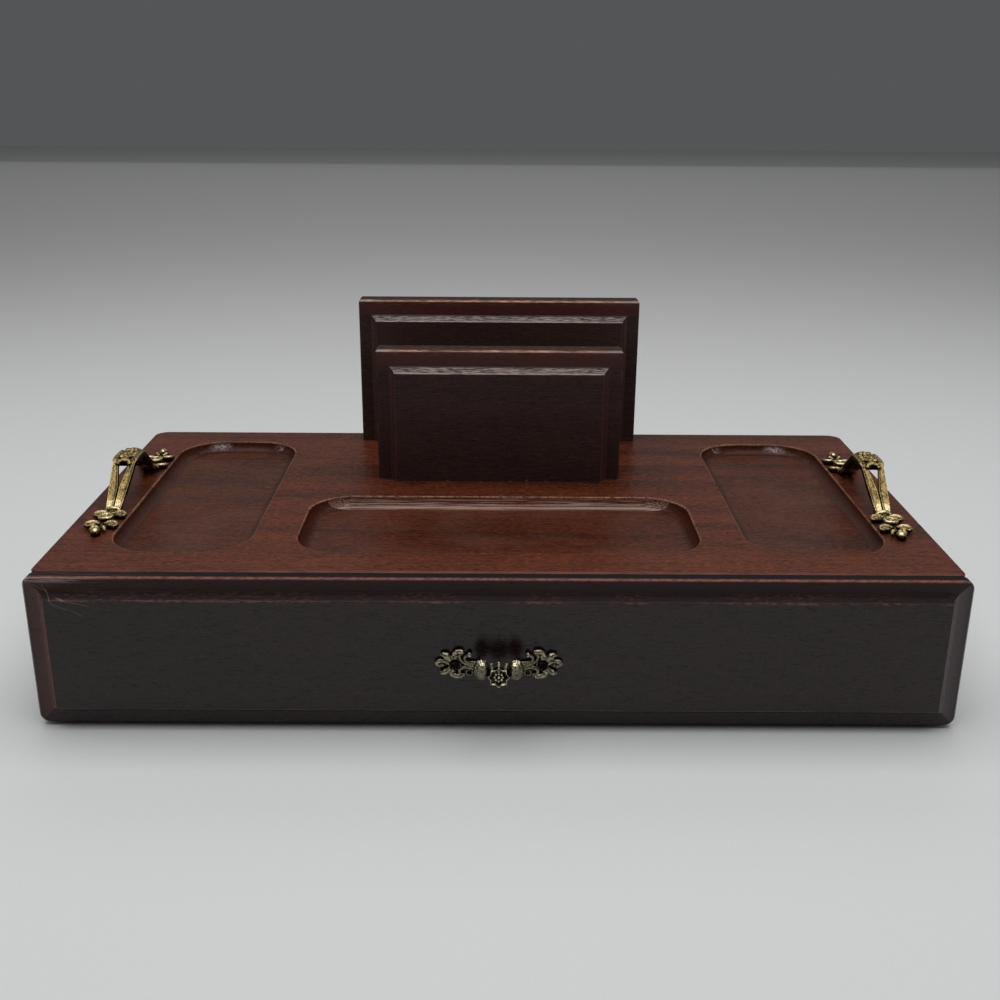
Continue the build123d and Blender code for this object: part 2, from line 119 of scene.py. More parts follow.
class Value:
    """A number, colour or vector that varies over a surface. Its arithmetic adds the nodes."""

    def __init__(self, tree: "Tree", socket: bpy.types.NodeSocket) -> None:
        """Wraps one output socket of a tree."""
        self.tree = tree
        self.socket = socket

    def __add__(self, other: "Operand") -> "Value":
        """The sum."""
        return self.tree.math("ADD", self, other)

    __radd__ = __add__

    def __sub__(self, other: "Operand") -> "Value":
        """The difference."""
        return self.tree.math("SUBTRACT", self, other)

    def __rsub__(self, other: "Operand") -> "Value":
        """A number less this value."""
        return self.tree.math("SUBTRACT", other, self)

    def __mul__(self, other: "Operand") -> "Value":
        """The product."""
        return self.tree.math("MULTIPLY", self, other)

    __rmul__ = __mul__

    def __abs__(self) -> "Value":
        """The size without its sign."""
        return self.tree.math("ABSOLUTE", self)

    def root(self) -> "Value":
        """The square root."""
        return self.tree.math("SQRT", self)

    def larger(self, other: "Operand") -> "Value":
        """The larger of two values."""
        return self.tree.math("MAXIMUM", self, other)

    def smaller(self, other: "Operand") -> "Value":
        """The smaller of two values."""
        return self.tree.math("MINIMUM", self, other)

    def rise(self, low: float, high: float) -> "Value":
        """A smooth step from 0 at low to 1 at high."""
        return self.tree.value("ShaderNodeMapRange", {"interpolation_type": "SMOOTHSTEP"},
                               {0: self, 1: low, 2: high, 3: 0.0, 4: 1.0})

    def fall(self, low: float, high: float) -> "Value":
        """A smooth step from 1 at low to 0 at high."""
        return 1 - self.rise(low, high)

    def band(self, middle: float, half: float) -> "Value":
        """A soft line that is 1 at the middle and 0 at half on either side."""
        return abs(self - middle).fall(0.0, half)

    def parts(self) -> tuple["Value", ...]:
        """The three numbers of a vector."""
        node = self.tree.node("ShaderNodeSeparateXYZ", inputs={0: self})
        return tuple(Value(self.tree, socket) for socket in node.outputs)

    def stretched(self, *shares: float) -> "Value":
        """A place of which each axis keeps its share."""
        return self.tree.value("ShaderNodeVectorMath", {"operation": "MULTIPLY"}, {0: self, 1: shares})

    def noise(self, scale: float, detail: float = 3.0, swirl: float = 0.0) -> "Value":
        """Soft noise from 0 to 1 at a place, with scale features to a millimetre."""
        return self.tree.value("ShaderNodeTexNoise", None, {"Vector": self, "Scale": scale, "Detail": detail,
                                                            "Distortion": swirl})

    def dents(self, scale: float) -> "Value":
        """How far a place lies from the nearest of a field of scattered points."""
        return self.tree.value("ShaderNodeTexVoronoi", None, {"Vector": self, "Scale": scale})

    def mix(self, first: "Value | Colour", second: "Value | Colour") -> "Value":
        """The colour between two colours, with this value as the share of the second."""
        ends = [end if isinstance(end, Value) else (*linear(end), 1.0) for end in (first, second)]
        return self.tree.value("ShaderNodeMix", {"data_type": "RGBA"}, {0: self, 6: ends[0], 7: ends[1]}, 2)

    def bump(self, depth: float) -> "Value":
        """The normal of a relief of which this is the height, where 1 stands for the depth."""
        return self.tree.value("ShaderNodeBump", None,
                               {"Strength": 1.0, "Distance": depth * MM, "Height": self})


Operand = Value | float


class Tree:
    """The nodes of one material."""

    def __init__(self, name: str) -> None:
        """Starts an empty material.

        Args:
            name: the material's name.
        """
        self.material = bpy.data.materials.new(name)
        self.material.use_nodes = True
        self.nodes = self.material.node_tree.nodes
        self.links = self.material.node_tree.links
        self.nodes.clear()

    def node(self, kind: str, settings: dict | None = None, inputs: dict | None = None) -> bpy.types.Node:
        """Adds a node.

        Args:
            kind: the node's type.
            settings: what is set on the node itself, before its sockets.
            inputs: a number, colour or Value for each socket, by name or place.

        Returns:
            The new node.
        """
        made = self.nodes.new(kind)
        for name, setting in (settings or {}).items():
            setattr(made, name, setting)
        for name, given in (inputs or {}).items():
            if isinstance(given, Value):
                self.links.new(given.socket, made.inputs[name])
            else:
                made.inputs[name].default_value = given
        return made

    def value(self, kind: str, settings: dict | None = None, inputs: dict | None = None,
              output: int | str = 0) -> Value:
        """Adds a node, and gives one of its outputs."""
        return Value(self, self.node(kind, settings, inputs).outputs[output])

    def math(self, operation: str, *values: Operand) -> Value:
        """A Math node's result."""
        return self.value("ShaderNodeMath", {"operation": operation}, dict(enumerate(values)))

    def place(self) -> Value:
        """The place on the object, in millimetres in the box's own frame."""
        return self.value("ShaderNodeTexCoord", output="Object").stretched(*[1 / MM] * 3)

    def geometry(self, name: str) -> Value:
        """What the mesh gives at a place: its Normal or its Pointiness."""
        return self.value("ShaderNodeNewGeometry", output=name)

    def finish(self, colour: Value, roughness: Value, normal: Value | None = None,
               constants: dict | None = None) -> Material:
        """Ends the material in one Principled shader.

        Args:
            colour: the base colour.
            roughness: the roughness.
            normal: the bumped normal, if there is one.
            constants: what is the same all over, by socket.

        Returns:
            The finished material.
        """
        inputs = {**(constants or {}), "Base Color": colour, "Roughness": roughness}
        if normal:
            inputs["Normal"] = normal
        self.node("ShaderNodeOutputMaterial", None, {0: self.value("ShaderNodeBsdfPrincipled", None, inputs)})
        return self.material


@dataclass(frozen=True)
class SurfaceLayer:
    """One layer of wear, or one of painted light and shade: where it lies, its colour, its roughness and how
    far it is cut in.
    """

    mask: Value
    colour: Colour
    roughness: float
    relief: float = 0.0


SurfaceLayerRule = Callable[[Value], list[SurfaceLayer]]


@dataclass(frozen=True)
class StainedWood:
    """Fine-grained wood, stained and lacquered to a satin sheen."""

    name: str
    light: Colour
    dark: Colour
    roughness: float = 0.34
    specular: float = 0.1
    cloud: float = 0.4
    contrast: float = 1.0
    fleck_colour: Colour = (138, 78, 50)
    pore_colour: Colour = (24, 11, 8)
    grain: GrainAxis = GrainAxis.ALONG_X
    coat: float = 0.03
    coat_roughness: float = 0.12
    relief: float = 0.07

    def material(self, marks: SurfaceLayerRule) -> Material:
        """Builds the finish, with the wear and the painted light and shade of the piece that it is for.

        Args:
            marks: gives the layers for a place on the piece, of wear and of painted light and shade.

        Returns:
            The material.
        """
        at = Tree(self.name).place()
        along = at.stretched(*self.grain.value)
        figure, streak, fibre = along.noise(0.05, 2.0, 0.8), along.noise(1.9), along.noise(4.0, 2.0)
        short = at.stretched(*[min(1.0, share * 3.0) for share in self.grain.value])
        speck = short.noise(2.7)
        pore = short.noise(1.9, 1.0).fall(0.30, 0.37)
        cloud = at.noise(0.016)
        wave = (figure - 0.5) * 0.45 + (streak - 0.5) * 0.7 + (speck - 0.5) * 0.9 + (fibre - 0.5) * 0.4
        tone = (wave * self.contrast + (cloud - 0.5) * self.cloud + 0.5).rise(0.1, 0.9)
        colour = tone.mix(self.dark, self.light)
        colour = (speck.rise(0.60, 0.72) * 0.45 * self.contrast).mix(colour, self.fleck_colour)
        colour = (pore * 0.7).mix(colour, self.pore_colour)
        rough = at.noise(0.09) * 0.14 + (self.roughness - 0.07) + pore * 0.18
        height = fibre * 0.25 - pore * 0.6 + speck * 0.5 + 0.3
        for layer in marks(at):
            colour = layer.mask.mix(colour, layer.colour)
            rough = rough + layer.mask * (layer.roughness - self.roughness)
            height = height + layer.mask * layer.relief
        return at.tree.finish(colour, rough, height.bump(self.relief),
                              {"Specular IOR Level": self.specular, "Coat Weight": self.coat,
                               "Coat Roughness": self.coat_roughness})


@dataclass(frozen=True)
class RawWood:
    """Plain wood inside the drawer, sanded and left dry."""

    name: str
    light: Colour
    dark: Colour
    grain: GrainAxis
    relief: float = 0.06

    def material(self) -> Material:
        """Builds the finish.

        Returns:
            The material.
        """
        at = Tree(self.name).place()
        along = at.stretched(*self.grain.value)
        ring, streak = along.noise(0.16, 3.0, 0.9), along.noise(1.6, 4.0)
        colour = (ring * 0.8 + streak * 0.6 - 0.2).rise(0.0, 1.0).mix(self.dark, self.light)
        colour = (at.noise(0.03).rise(0.45, 0.75) * 0.22).mix(colour, BLACK)
        height = streak * 0.6 + ring * 0.2
        return at.tree.finish(colour, streak * 0.15 + 0.55, height.bump(self.relief))


@dataclass(frozen=True)
class Felt:
    """Short-haired felt, with a little dust on it."""

    name: str
    colour: Colour
    pale: Colour
    dust_colour: Colour = (190, 186, 176)
    relief: float = 0.25

    def material(self) -> Material:
        """Builds the finish.

        Returns:
            The material.
        """
        at = Tree(self.name).place()
        hair, clump = at.noise(3.1, 5.0, 1.2), at.noise(0.5)
        colour = (hair * 0.7 + clump * 0.5 - 0.3).rise(0.0, 0.8).mix(self.colour, self.pale)
        colour = (at.noise(5.5, 1.0).rise(0.70, 0.78) * 0.3).mix(colour, self.dust_colour)
        return at.tree.finish(colour, clump * 0.08 + 0.86, (hair + clump * 0.4).bump(self.relief),
                              {"Sheen Weight": 0.35, "Sheen Roughness": 0.5})


@dataclass(frozen=True)
class AntiqueBrass:
    """Cast brass, dark in its hollows and rubbed bright where fingers touch it."""

    name: str
    bright: Colour = (226, 210, 160)
    body: Colour = (142, 122, 78)
    patina: Colour = (22, 20, 15)
    red: Colour = (140, 92, 60)
    relief: float = 0.22

    def material(self, raised: Callable[[Value], Value]) -> Material:
        """Builds the finish.

        Args:
            raised: gives how far a place stands out of the casting's hollows, from 0 to 1, with painted light
                and shade from the way that it faces.

        Returns:
            The material.
        """
        at = Tree(self.name).place()
        edge = at.tree.geometry("Pointiness")
        grime, pits = at.noise(0.55, 4.0, 0.8), at.noise(2.4)
        # The bright and the dark colours below are wear and patina, and also painted highlight and painted
        # shade, which come in through raised.
        rubbed_and_lit = (edge - 0.5) * 5.5 + (raised(at) - 0.5) * 0.9 + (grime - 0.5) * 0.7 + 0.42
        patina_and_shade = rubbed_and_lit.fall(0.15, 0.5)
        colour = rubbed_and_lit.rise(0.62, 1.0).mix(patina_and_shade.mix(self.body, self.patina), self.bright)
        colour = (grime.rise(0.56, 0.72) * 0.3).mix(colour, self.red)
        colour = (pits.rise(0.52, 0.66) * 0.6).mix(colour, BLACK)
        height = at.dents(0.85) * 0.7 + pits * 0.5
        return at.tree.finish(colour, patina_and_shade * 0.3 + pits * 0.25 + 0.14, height.bump(self.relief),
                              {"Metallic": 1.0})


@dataclass(frozen=True)
class ScrewSteel:
    """Plated steel of a screw's head, a little dull."""

    name: str
    colour: Colour = (150, 148, 142)
    smeared: Colour = (96, 84, 70)
    relief: float = 0.03

    def material(self) -> Material:
        """Builds the finish.

        Returns:
            The material.
        """
        at = Tree(self.name).place()
        smear = at.noise(0.9, 4.0)
        colour = (smear.rise(0.5, 0.8) * 0.5).mix(self.colour, self.smeared)
        colour = (at.noise(3.0, 2.0).rise(0.55, 0.8) * 0.4).mix(colour, BLACK)
        return at.tree.finish(colour, smear * 0.3 + 0.22, smear.bump(self.relief), {"Metallic": 1.0})


TOP_WOOD = StainedWood("top_stain", (104, 50, 29), (42, 20, 13), contrast=1.9)
# The front's and the letter boards' stains are darker copies of the top's stain: the darkness is painted
# shade on upright faces that turn away from the light above.
SHADED_FRONT_WOOD = StainedWood("front_stain_painted_shade", (46, 28, 26), (24, 15, 16), 0.2, 0.38, 0.25, 0.9,
                         (84, 58, 50), (8, 6, 6))
SHADED_BOARD_WOOD = StainedWood("board_stain_painted_shade", (74, 50, 46), (38, 26, 26), 0.42, 0.24, 0.25, 0.9,
                         (96, 62, 52), (12, 8, 8))
SIDE_WOOD = StainedWood("side_stain", (70, 38, 29), (38, 20, 16), 0.3, 0.35,
                        fleck_colour=(100, 62, 48), grain=GrainAxis.ALONG_Y)
DRAWER_WOOD = RawWood("drawer_wood_bare", (196, 158, 112), (150, 108, 70), GrainAxis.ALONG_X)
DRAWER_SIDE_WOOD = RawWood("drawer_side_bare", (198, 160, 114), (152, 110, 72), GrainAxis.ALONG_Y)
PLYWOOD = RawWood("plywood_bare", (190, 156, 116), (158, 120, 82), GrainAxis.ALONG_Y)
LINER_FELT = Felt("liner_felt", (22, 52, 36), (50, 88, 62))
BASE_FELT = Felt("base_felt_green", (20, 46, 32), (44, 76, 54))
BRASS = AntiqueBrass("antique_brass_cast")
PULL_METAL = AntiqueBrass("antique_brass_pull", (234, 226, 192), (128, 121, 100), (12, 11, 10))
STEEL = ScrewSteel("screw_head_steel")

WORN_EDGE: Colour = (180, 132, 104)
# Pale raised grain, made paler by a painted highlight.
RAISED_GRAIN_AND_HIGHLIGHT: Colour = (170, 146, 134)


def select_none() -> None:
    """Leaves nothing selected."""
    if bpy.context.object and bpy.context.object.mode != "OBJECT":
        end_edit()
    bpy.ops.object.select_all(action="DESELECT")


def select_only(pieces: Sequence[Piece]) -> None:
    """Selects pieces and nothing else.

    Args:
        pieces: the pieces, the first of which becomes active.
    """
    select_none()
    for piece in pieces:
        piece.select_set(True)
    bpy.context.view_layer.objects.active = pieces[0]


def begin_edit() -> None:
    """Opens the active piece in edit mode, with all of it selected."""
    bpy.ops.object.mode_set(mode="EDIT")
    bpy.ops.mesh.select_all(action="SELECT")


def end_edit() -> None:
    """Goes back to object mode."""
    bpy.ops.object.mode_set(mode="OBJECT")


def extrude(offset: Point | Vector) -> None:
    """Extrudes what is selected in edit mode."""
    bpy.ops.mesh.extrude_region_move(TRANSFORM_OT_translate={"value": offset})


def choose_upper_faces() -> None:
    """Selects, in edit mode, just the faces that look up."""
    bpy.ops.mesh.select_mode(type="FACE")
    bpy.ops.mesh.select_all(action="DESELECT")
    for face in bmesh.from_edit_mesh(bpy.context.object.data).faces:
        face.select_set(face.normal.z > 0.9)
    bmesh.update_edit_mesh(bpy.context.object.data)


def move_points(piece: Piece, rule: Callable[[np.ndarray], np.ndarray]) -> None:
    """Moves a piece's points.

    Args:
        piece: the piece.
        rule: gives the new places for the old ones, as rows of x, y and z.
    """
    mesh = piece.data
    places = np.empty(len(mesh.vertices) * 3, np.float32)
    mesh.vertices.foreach_get("co", places)
    mesh.vertices.foreach_set("co", rule(places.reshape(-1, 3).astype(float)).astype(np.float32).ravel())
    mesh.update()


def add_modifier(piece: Piece, kind: str, **settings: object) -> None:
    """Adds a modifier to a piece and applies it at once.

    Args:
        piece: the piece.
        kind: the modifier's type.
        settings: what is set on it.
    """
    select_only([piece])
    bpy.ops.object.modifier_add(type=kind)
    modifier = piece.modifiers[-1]
    for name, setting in settings.items():
        setattr(modifier, name, setting)
    bpy.ops.object.modifier_apply(modifier=modifier.name)


def slab(name: str, middle: Point, size: PlanPoint, cells: tuple[int, int], thickness: float) -> Piece:
    """A closed slab, extruded from a flat grid, with its place and size in its mesh.

    Args:
        name: its name.
        middle: the middle of the grid.
        size: its size along X and Y.
        cells: the number of faces along X and Y.
        thickness: how far the grid is extruded upwards, or downwards where it is less than 0.

    Returns:
        The slab, active and selected.
    """
    select_none()
    bpy.ops.mesh.primitive_grid_add(x_subdivisions=cells[0], y_subdivisions=cells[1], size=1.0,
                                    location=middle)
    piece = bpy.context.object
    piece.name = piece.data.name = name
    piece.scale = (*size, 1.0)
    bpy.ops.object.transform_apply(location=True, rotation=True, scale=True)
    begin_edit()
    extrude((0, 0, thickness))
    bpy.ops.mesh.select_all(action="SELECT")
    bpy.ops.mesh.normals_make_consistent(inside=False)
    end_edit()
    return piece


def dress(piece: Piece, material: Material) -> None:
    """Gives a piece one material all over.

    Args:
        piece: the piece.
        material: its finish.
    """
    piece.data.materials.clear()
    piece.data.materials.append(material)
    piece.data.polygons.foreach_set("material_index", [0] * len(piece.data.polygons))


def seat(piece: Piece, node: str, body: Body, material: Material) -> Piece:
    """Dresses a finished piece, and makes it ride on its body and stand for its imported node.

    Args:
        piece: the piece.
        node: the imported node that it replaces.
        body: what it rides on.
        material: its finish.

    Returns:
        The piece.
    """
    dress(piece, material)
    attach(piece, body.value)
    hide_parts(node)
    return piece


def finished_copy(node: str, ease: float, body: Body, material: Material) -> Piece:
    """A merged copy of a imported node, with its sharp edges eased, seated in the node's stead.

    Args:
        node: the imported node.
        ease: the width of the eased edges, in millimetres.
        body: what it rides on.
        material: its finish.

    Returns:
        The new piece, at the origin.
    """
    piece = bpy.data.objects.new(f"{node}_finished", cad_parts[node].data.copy())
    bpy.context.scene.collection.objects.link(piece)
    select_only([piece])
    bpy.ops.mesh.customdata_custom_splitnormals_clear()
    begin_edit()
    bpy.ops.mesh.remove_doubles(threshold=MERGE_DISTANCE * MM)
    end_edit()
    add_modifier(piece, "BEVEL", width=ease * MM, segments=2, limit_method="ANGLE",
                 angle_limit=EASED_ANGLE, use_clamp_overlap=True)
    select_only([piece])
    bpy.ops.object.shade_smooth_by_angle(angle=SMOOTH_ANGLE)
    add_modifier(piece, "WEIGHTED_NORMAL", weight=100, keep_sharp=True)
    return seat(piece, node, body, material)


def node_box(node: str) -> tuple[Vector, Vector]:
    """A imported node's lowest and highest corners, in millimetres."""
    low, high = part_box(node)
    return low / MM, high / MM


def smooth_line(points: Sequence[Point], steps: int) -> list[Vector]:
    """A smooth line through points.

    Args:
        points: the points.
        steps: the number of steps from each point to the next.

    Returns:
        The line's places.
    """
    given = [Vector(point) for point in points]
    ends = [given[0] * 2 - given[1], *given, given[-1] * 2 - given[-2]]
    line = [given[0]]
    for before, start, end, after in zip(ends, ends[1:], ends[2:], ends[3:]):
        for step in range(1, steps + 1):
            t = step / steps
            line.append(0.5 * (2 * start + (end - before) * t
                               + (2 * before - 5 * start + 4 * end - after) * t * t
                               + (3 * start - before - 3 * end + after) * t ** 3))
    return line


def around(reach: float, count: int, turn: float = 0.0) -> list[PlanPoint]:
    """Points evenly spaced round the origin, the first turned by some degrees."""
    angles = [math.radians(turn + 360 / count * step) for step in range(count)]
    return [(reach * math.cos(angle), reach * math.sin(angle)) for angle in angles]


class CastingShop:
    """Models the ornament of a casting in millimetres, lying flat with its front towards +Z."""

    def __init__(self) -> None:
        """Starts with nothing made."""
        self.made: list[Piece] = []

    def keep(self) -> Piece:
        """Keeps the active object as a part of the casting, with its place in its mesh.

        Returns:
            The object.
        """
        piece = bpy.context.object
        select_only([piece])
        bpy.ops.object.transform_apply(location=True, rotation=True, scale=True)
        self.made.append(piece)
        return piece

    def boss(self, place: Point, radii: Point, sides: int = 12) -> None:
        """Adds a rounded boss.

        Args:
            place: its middle.
            radii: its three radii.
            sides: the number of its sides.
        """
        select_none()
        bpy.ops.mesh.primitive_uv_sphere_add(segments=sides, ring_count=sides // 2, location=place,
                                             scale=radii)
        self.keep()

    def ring(self, place: Point, radius: float, thickness: float) -> None:
        """Adds a round ring that lies flat.

        Args:
            place: its middle.
            radius: the radius of the line that it follows.
            thickness: the radius of its section.
        """
        select_none()
        bpy.ops.mesh.primitive_torus_add(location=place, major_radius=radius, minor_radius=thickness,
                                         major_segments=32, minor_segments=12)
        self.keep()

    def strand(self, points: Sequence[Point], radii: Point, rise: float = 1.0, sides: int = 10,
               steps: int = 4, level: bool = False) -> None:
        """Adds a cast strand through points, made by extruding one ring and turning it on its way.

        Args:
            points: the strand's line, as places in the casting.
            radii: the radius at the start, the middle and the end.
            rise: the height of the section as a share of its width.
            sides: the sides of the ring.
            steps: the extrusions from one point to the next.
            level: whether the ring stays level, as for a stem that stands up.
        """
        line = smooth_line(points, steps)
        headings = [math.atan2(b.y - a.y, b.x - a.x) for a, b in zip(line, line[1:])]
        headings.append(headings[-1])
        radius = radii[0]
        select_none()
        bpy.ops.mesh.primitive_circle_add(
            vertices=sides, radius=1.0, fill_type="NGON", location=line[0],
            rotation=(0, 0, 0) if level else (math.pi / 2, 0, headings[0] + math.pi / 2),
            scale=(radius, radius * rise, radius))
        begin_edit()
        for step, place in enumerate(line[1:]):
            extrude(place - line[step])
            turn = math.remainder(headings[step + 1] - headings[step], math.tau)
            if abs(turn) > LEAST_TURN and not level:
                bpy.ops.transform.rotate(value=-turn, orient_axis="Z", center_override=place)
            wanted = float(np.interp((step + 1) / (len(line) - 1), (0.0, 0.5, 1.0), radii))
            bpy.ops.transform.resize(value=(wanted / radius,) * 3, center_override=place)
            radius = wanted
        end_edit()
        self.keep()

    def mirrored(self, pieces: Sequence[Piece], scale: Point) -> None:
        """Adds copies of pieces across the origin, each copy with its own mesh.

        Args:
            pieces: the pieces.
            scale: -1 for the axis that is turned round, and 1 for the others.
        """
        for piece in pieces:
            copy = piece.copy()
            copy.data = piece.data.copy()
            bpy.context.scene.collection.objects.link(copy)
            copy.data.transform(Matrix.Diagonal((*scale, 1.0)))
            copy.data.flip_normals()
            self.made.append(copy)

    def cast(self, name: str, grain: float, smoothing: int, placement: Matrix) -> Piece:
        """Runs all that was made together into one skin, and puts it in its place.

        Args:
            name: the casting's name.
            grain: the size of the remeshed faces, in millimetres.
            smoothing: how often the skin is smoothed.
            placement: takes the casting to its place, in millimetres.

        Returns:
            The casting, resting on the face behind it.
        """
        select_only(self.made)
        bpy.ops.object.join()
        piece = bpy.context.object
        piece.name = piece.data.name = name
        begin_edit()
        bpy.ops.mesh.normals_make_consistent(inside=False)
        end_edit()
        add_modifier(piece, "REMESH", mode="VOXEL", voxel_size=grain)
        add_modifier(piece, "SMOOTH", factor=0.5, iterations=smoothing)
        move_points(piece, lambda places: np.column_stack([places[:, :2], np.maximum(places[:, 2], 0.0)]))
        piece.data.transform(Matrix.Scale(MM, 4) @ placement)
        select_only([piece])
        bpy.ops.object.shade_smooth()
        return piece


@dataclass
class Bow:
    """The line of a handle's bow: flat at its middle, bent down and bent out again into its feet."""

    height: float = 20.6
    thickness: float = 2.8
    shoulder: float = 7.0
    foot: float = 33.0
    bend: float = 11.0
    foot_bend: float = 5.0
    foot_level: float = 1.6

    def __post_init__(self) -> None:
        """Works out the lengths of the runs and bends from the middle to the foot."""
        self.top = self.height - self.thickness / 2
        drop = self.top - self.foot_level
        self.slope = math.atan2(drop, self.foot - self.shoulder)
        cut = self.bend * math.tan(self.slope / 2)
        foot_cut = self.foot_bend * math.tan(self.slope / 2)
        slant = math.hypot(drop, self.foot - self.shoulder) - cut - foot_cut
        self.runs = (self.shoulder - cut, self.bend * self.slope, slant, self.foot_bend * self.slope)

    def bent(self, places: np.ndarray) -> np.ndarray:
        """Bends flat places, with y as the length along the bow, to the line of the bow.

        Args:
            places: rows of x, y and z, with z measured from the middle of the strip.

        Returns:
            The bent places.
        """
        along = np.abs(places[:, 1])
        flat, arc, slant, toe = np.cumsum(self.runs)
        turn = np.clip((along - flat) / self.bend, 0, self.slope)
        back = np.clip((along - slant) / self.foot_bend, 0, self.slope)
        straight = np.clip(along - arc, 0, slant - arc)
        y = (np.minimum(along, flat) + self.bend * np.sin(turn) + straight * np.cos(self.slope)
             + self.foot_bend * (np.sin(self.slope) - np.sin(self.slope - back))
             + np.maximum(along - toe, 0) + places[:, 2] * np.sin(turn - back))
        z = (self.top - self.bend * (1 - np.cos(turn)) - straight * np.sin(self.slope)
             - self.foot_bend * (np.cos(self.slope - back) - np.cos(self.slope))
             + places[:, 2] * np.cos(turn - back))
        return np.column_stack([places[:, 0], np.sign(places[:, 1]) * y, z])


@dataclass
class Handle:
    """A cast handle: a bow of two hammered bars, a flower at its middle and scrolled feet."""

    side: Side
    middle_half: float = 6.2
    waist_half: float = 5.45
    foot_half: float = 3.35
    waist: float = 9.2
    crown_length: float = 7.4
    crown_sink: float = 0.45
    window_half: float = 2.9
    window_end: float = 24.0
    slit_half: float = 0.4
    bar_width: float = 3.0
    bar_overlap: float = 1.2
    bar_tail: float = 3.0
    rim: float = 0.6
    groove: float = 0.55
    screw_spacing: float = 88.9
    knob_reach: float = 16.2
    skin: float = 0.25
    bow: Bow = field(default_factory=Bow)

    def make_bar(self, shop: CastingShop) -> Piece:
        """Adds one bar of an arm, flat, with raised rims: it leans out from the foot to the crown.

        Args:
            shop: holds what is made.

        Returns:
            The bar.
        """
        toe = sum(self.bow.runs)
        start = self.waist - self.bar_overlap
        length = toe + self.bar_tail - start
        thickness = self.bow.thickness
        slab("bar", (0, start + length / 2, thickness / 2), (self.bar_width, length), (1, 44), -thickness)
        bar = shop.keep()
        begin_edit()
        choose_upper_faces()
        bpy.ops.mesh.inset(thickness=self.rim)
        bpy.ops.transform.translate(value=(0, 0, -self.groove))
        end_edit()
        knots = (start, self.waist, self.window_end, toe)
        inner = (self.window_half - 0.3, self.window_half, self.slit_half, self.slit_half)
        outer = (self.waist_half + 0.4, self.waist_half, self.waist_half - 0.8, self.foot_half)

        def lean(places: np.ndarray) -> np.ndarray:
            """Spreads the bar between its window and the arm's outer edge.

            Args:
                places: the bar's points, in rows.

            Returns:
                Their new places.
            """
            share = places[:, 0] / self.bar_width + 0.5
            near, far = (np.interp(places[:, 1], knots, edge) for edge in (inner, outer))
            places[:, 0] = near + (far - near) * share
            return places

        move_points(bar, lean)
        return bar

    def make_crown(self, shop: CastingShop) -> None:
        """Adds the floral middle: a plate with beaded edges, a flower and a rim over each window.

        Args:
            shop: holds what is made.
        """
        half = self.bow.thickness / 2
        plate = slab("crown", (0, 0, half), (2 * self.middle_half, 2 * self.waist), (12, 24), -2 * half)
        shop.keep()

        def waisted(places: np.ndarray) -> np.ndarray:
            """Draws the plate in to the arms' width at its ends, and sinks its upper face a little.

            Args:
                places: the plate's points, in rows.

            Returns:
                Their new places.
            """
            far = np.abs(places[:, 1])
            wide = np.interp(far, (self.crown_length, self.waist), (self.middle_half, self.waist_half))
            inside = np.clip(1 - (places[:, 0] / self.middle_half) ** 4, 0, 1)
            places[:, 2] -= np.where(places[:, 2] > 0, self.crown_sink * inside, 0)
            places[:, 0] *= wide / self.middle_half
            return places

        move_points(plate, waisted)
        shop.boss((0, 0, half - 0.1), (1.25, 1.25, 1.0), 18)
        for x, y in around(2.8, 6, 90):
            shop.boss((x, y, half - 0.45), (1.25, 1.25, 0.85), 14)
        for side in (-1, 1):
            for y in (-6.3, -3.2, 0.0, 3.2, 6.3):
                shop.boss((side * 5.2, y, half - 0.55), (0.95, 1.6, 0.85))
            shop.strand([(-2.9, side * 10.6, half - 0.2), (-2.3, side * 8.9, half),
                         (0, side * 8.0, half + 0.1), (2.3, side * 8.9, half),
                         (2.9, side * 10.6, half - 0.2)], (0.5, 0.75, 0.5), 0.9, 8)
            for x in (-2.0, 0.0, 2.0):
                shop.strand([(x * 0.7, side * 4.0, half - 0.3), (x * 1.3, side * 6.4, half + 0.1)],
                            (0.45, 0.75, 0.5), 0.7, 8, 5)

    def make_bow(self, shop: CastingShop) -> None:
        """Adds the bow, modelled flat and bent to its line.

        Args:
            shop: holds what is made.
        """
        bar = self.make_bar(shop)
        shop.mirrored([bar], (-1, 1, 1))
        shop.mirrored(list(shop.made), (1, -1, 1))
        self.make_crown(shop)
        for piece in shop.made:
            move_points(piece, self.bow.bent)

    def make_lobe(self, shop: CastingShop, side: int, middle: float) -> None:
        """Adds one curled leaf beside the spine, with its tip towards the tip of the foot.

        Args:
            shop: holds what is made.
            side: -1 for the left of the spine and 1 for its right.
            middle: the place of the leaf's middle along the spine.
        """
        shop.strand([(side * 1.0, middle - 0.9, 1.7), (side * 3.3, middle - 1.9, 2.4),
                     (side * 5.8, middle - 1.5, 2.3), (side * 7.1, middle + 0.2, 1.9),
                     (side * 6.3, middle + 1.6, 1.7), (side * 4.8, middle + 1.3, 1.7)],
                    (1.2, 1.65, 0.85), 1.15, 12)
        shop.boss((side * 4.5, middle - 0.2, 1.1), (3.0, 2.2, 1.8), 14)

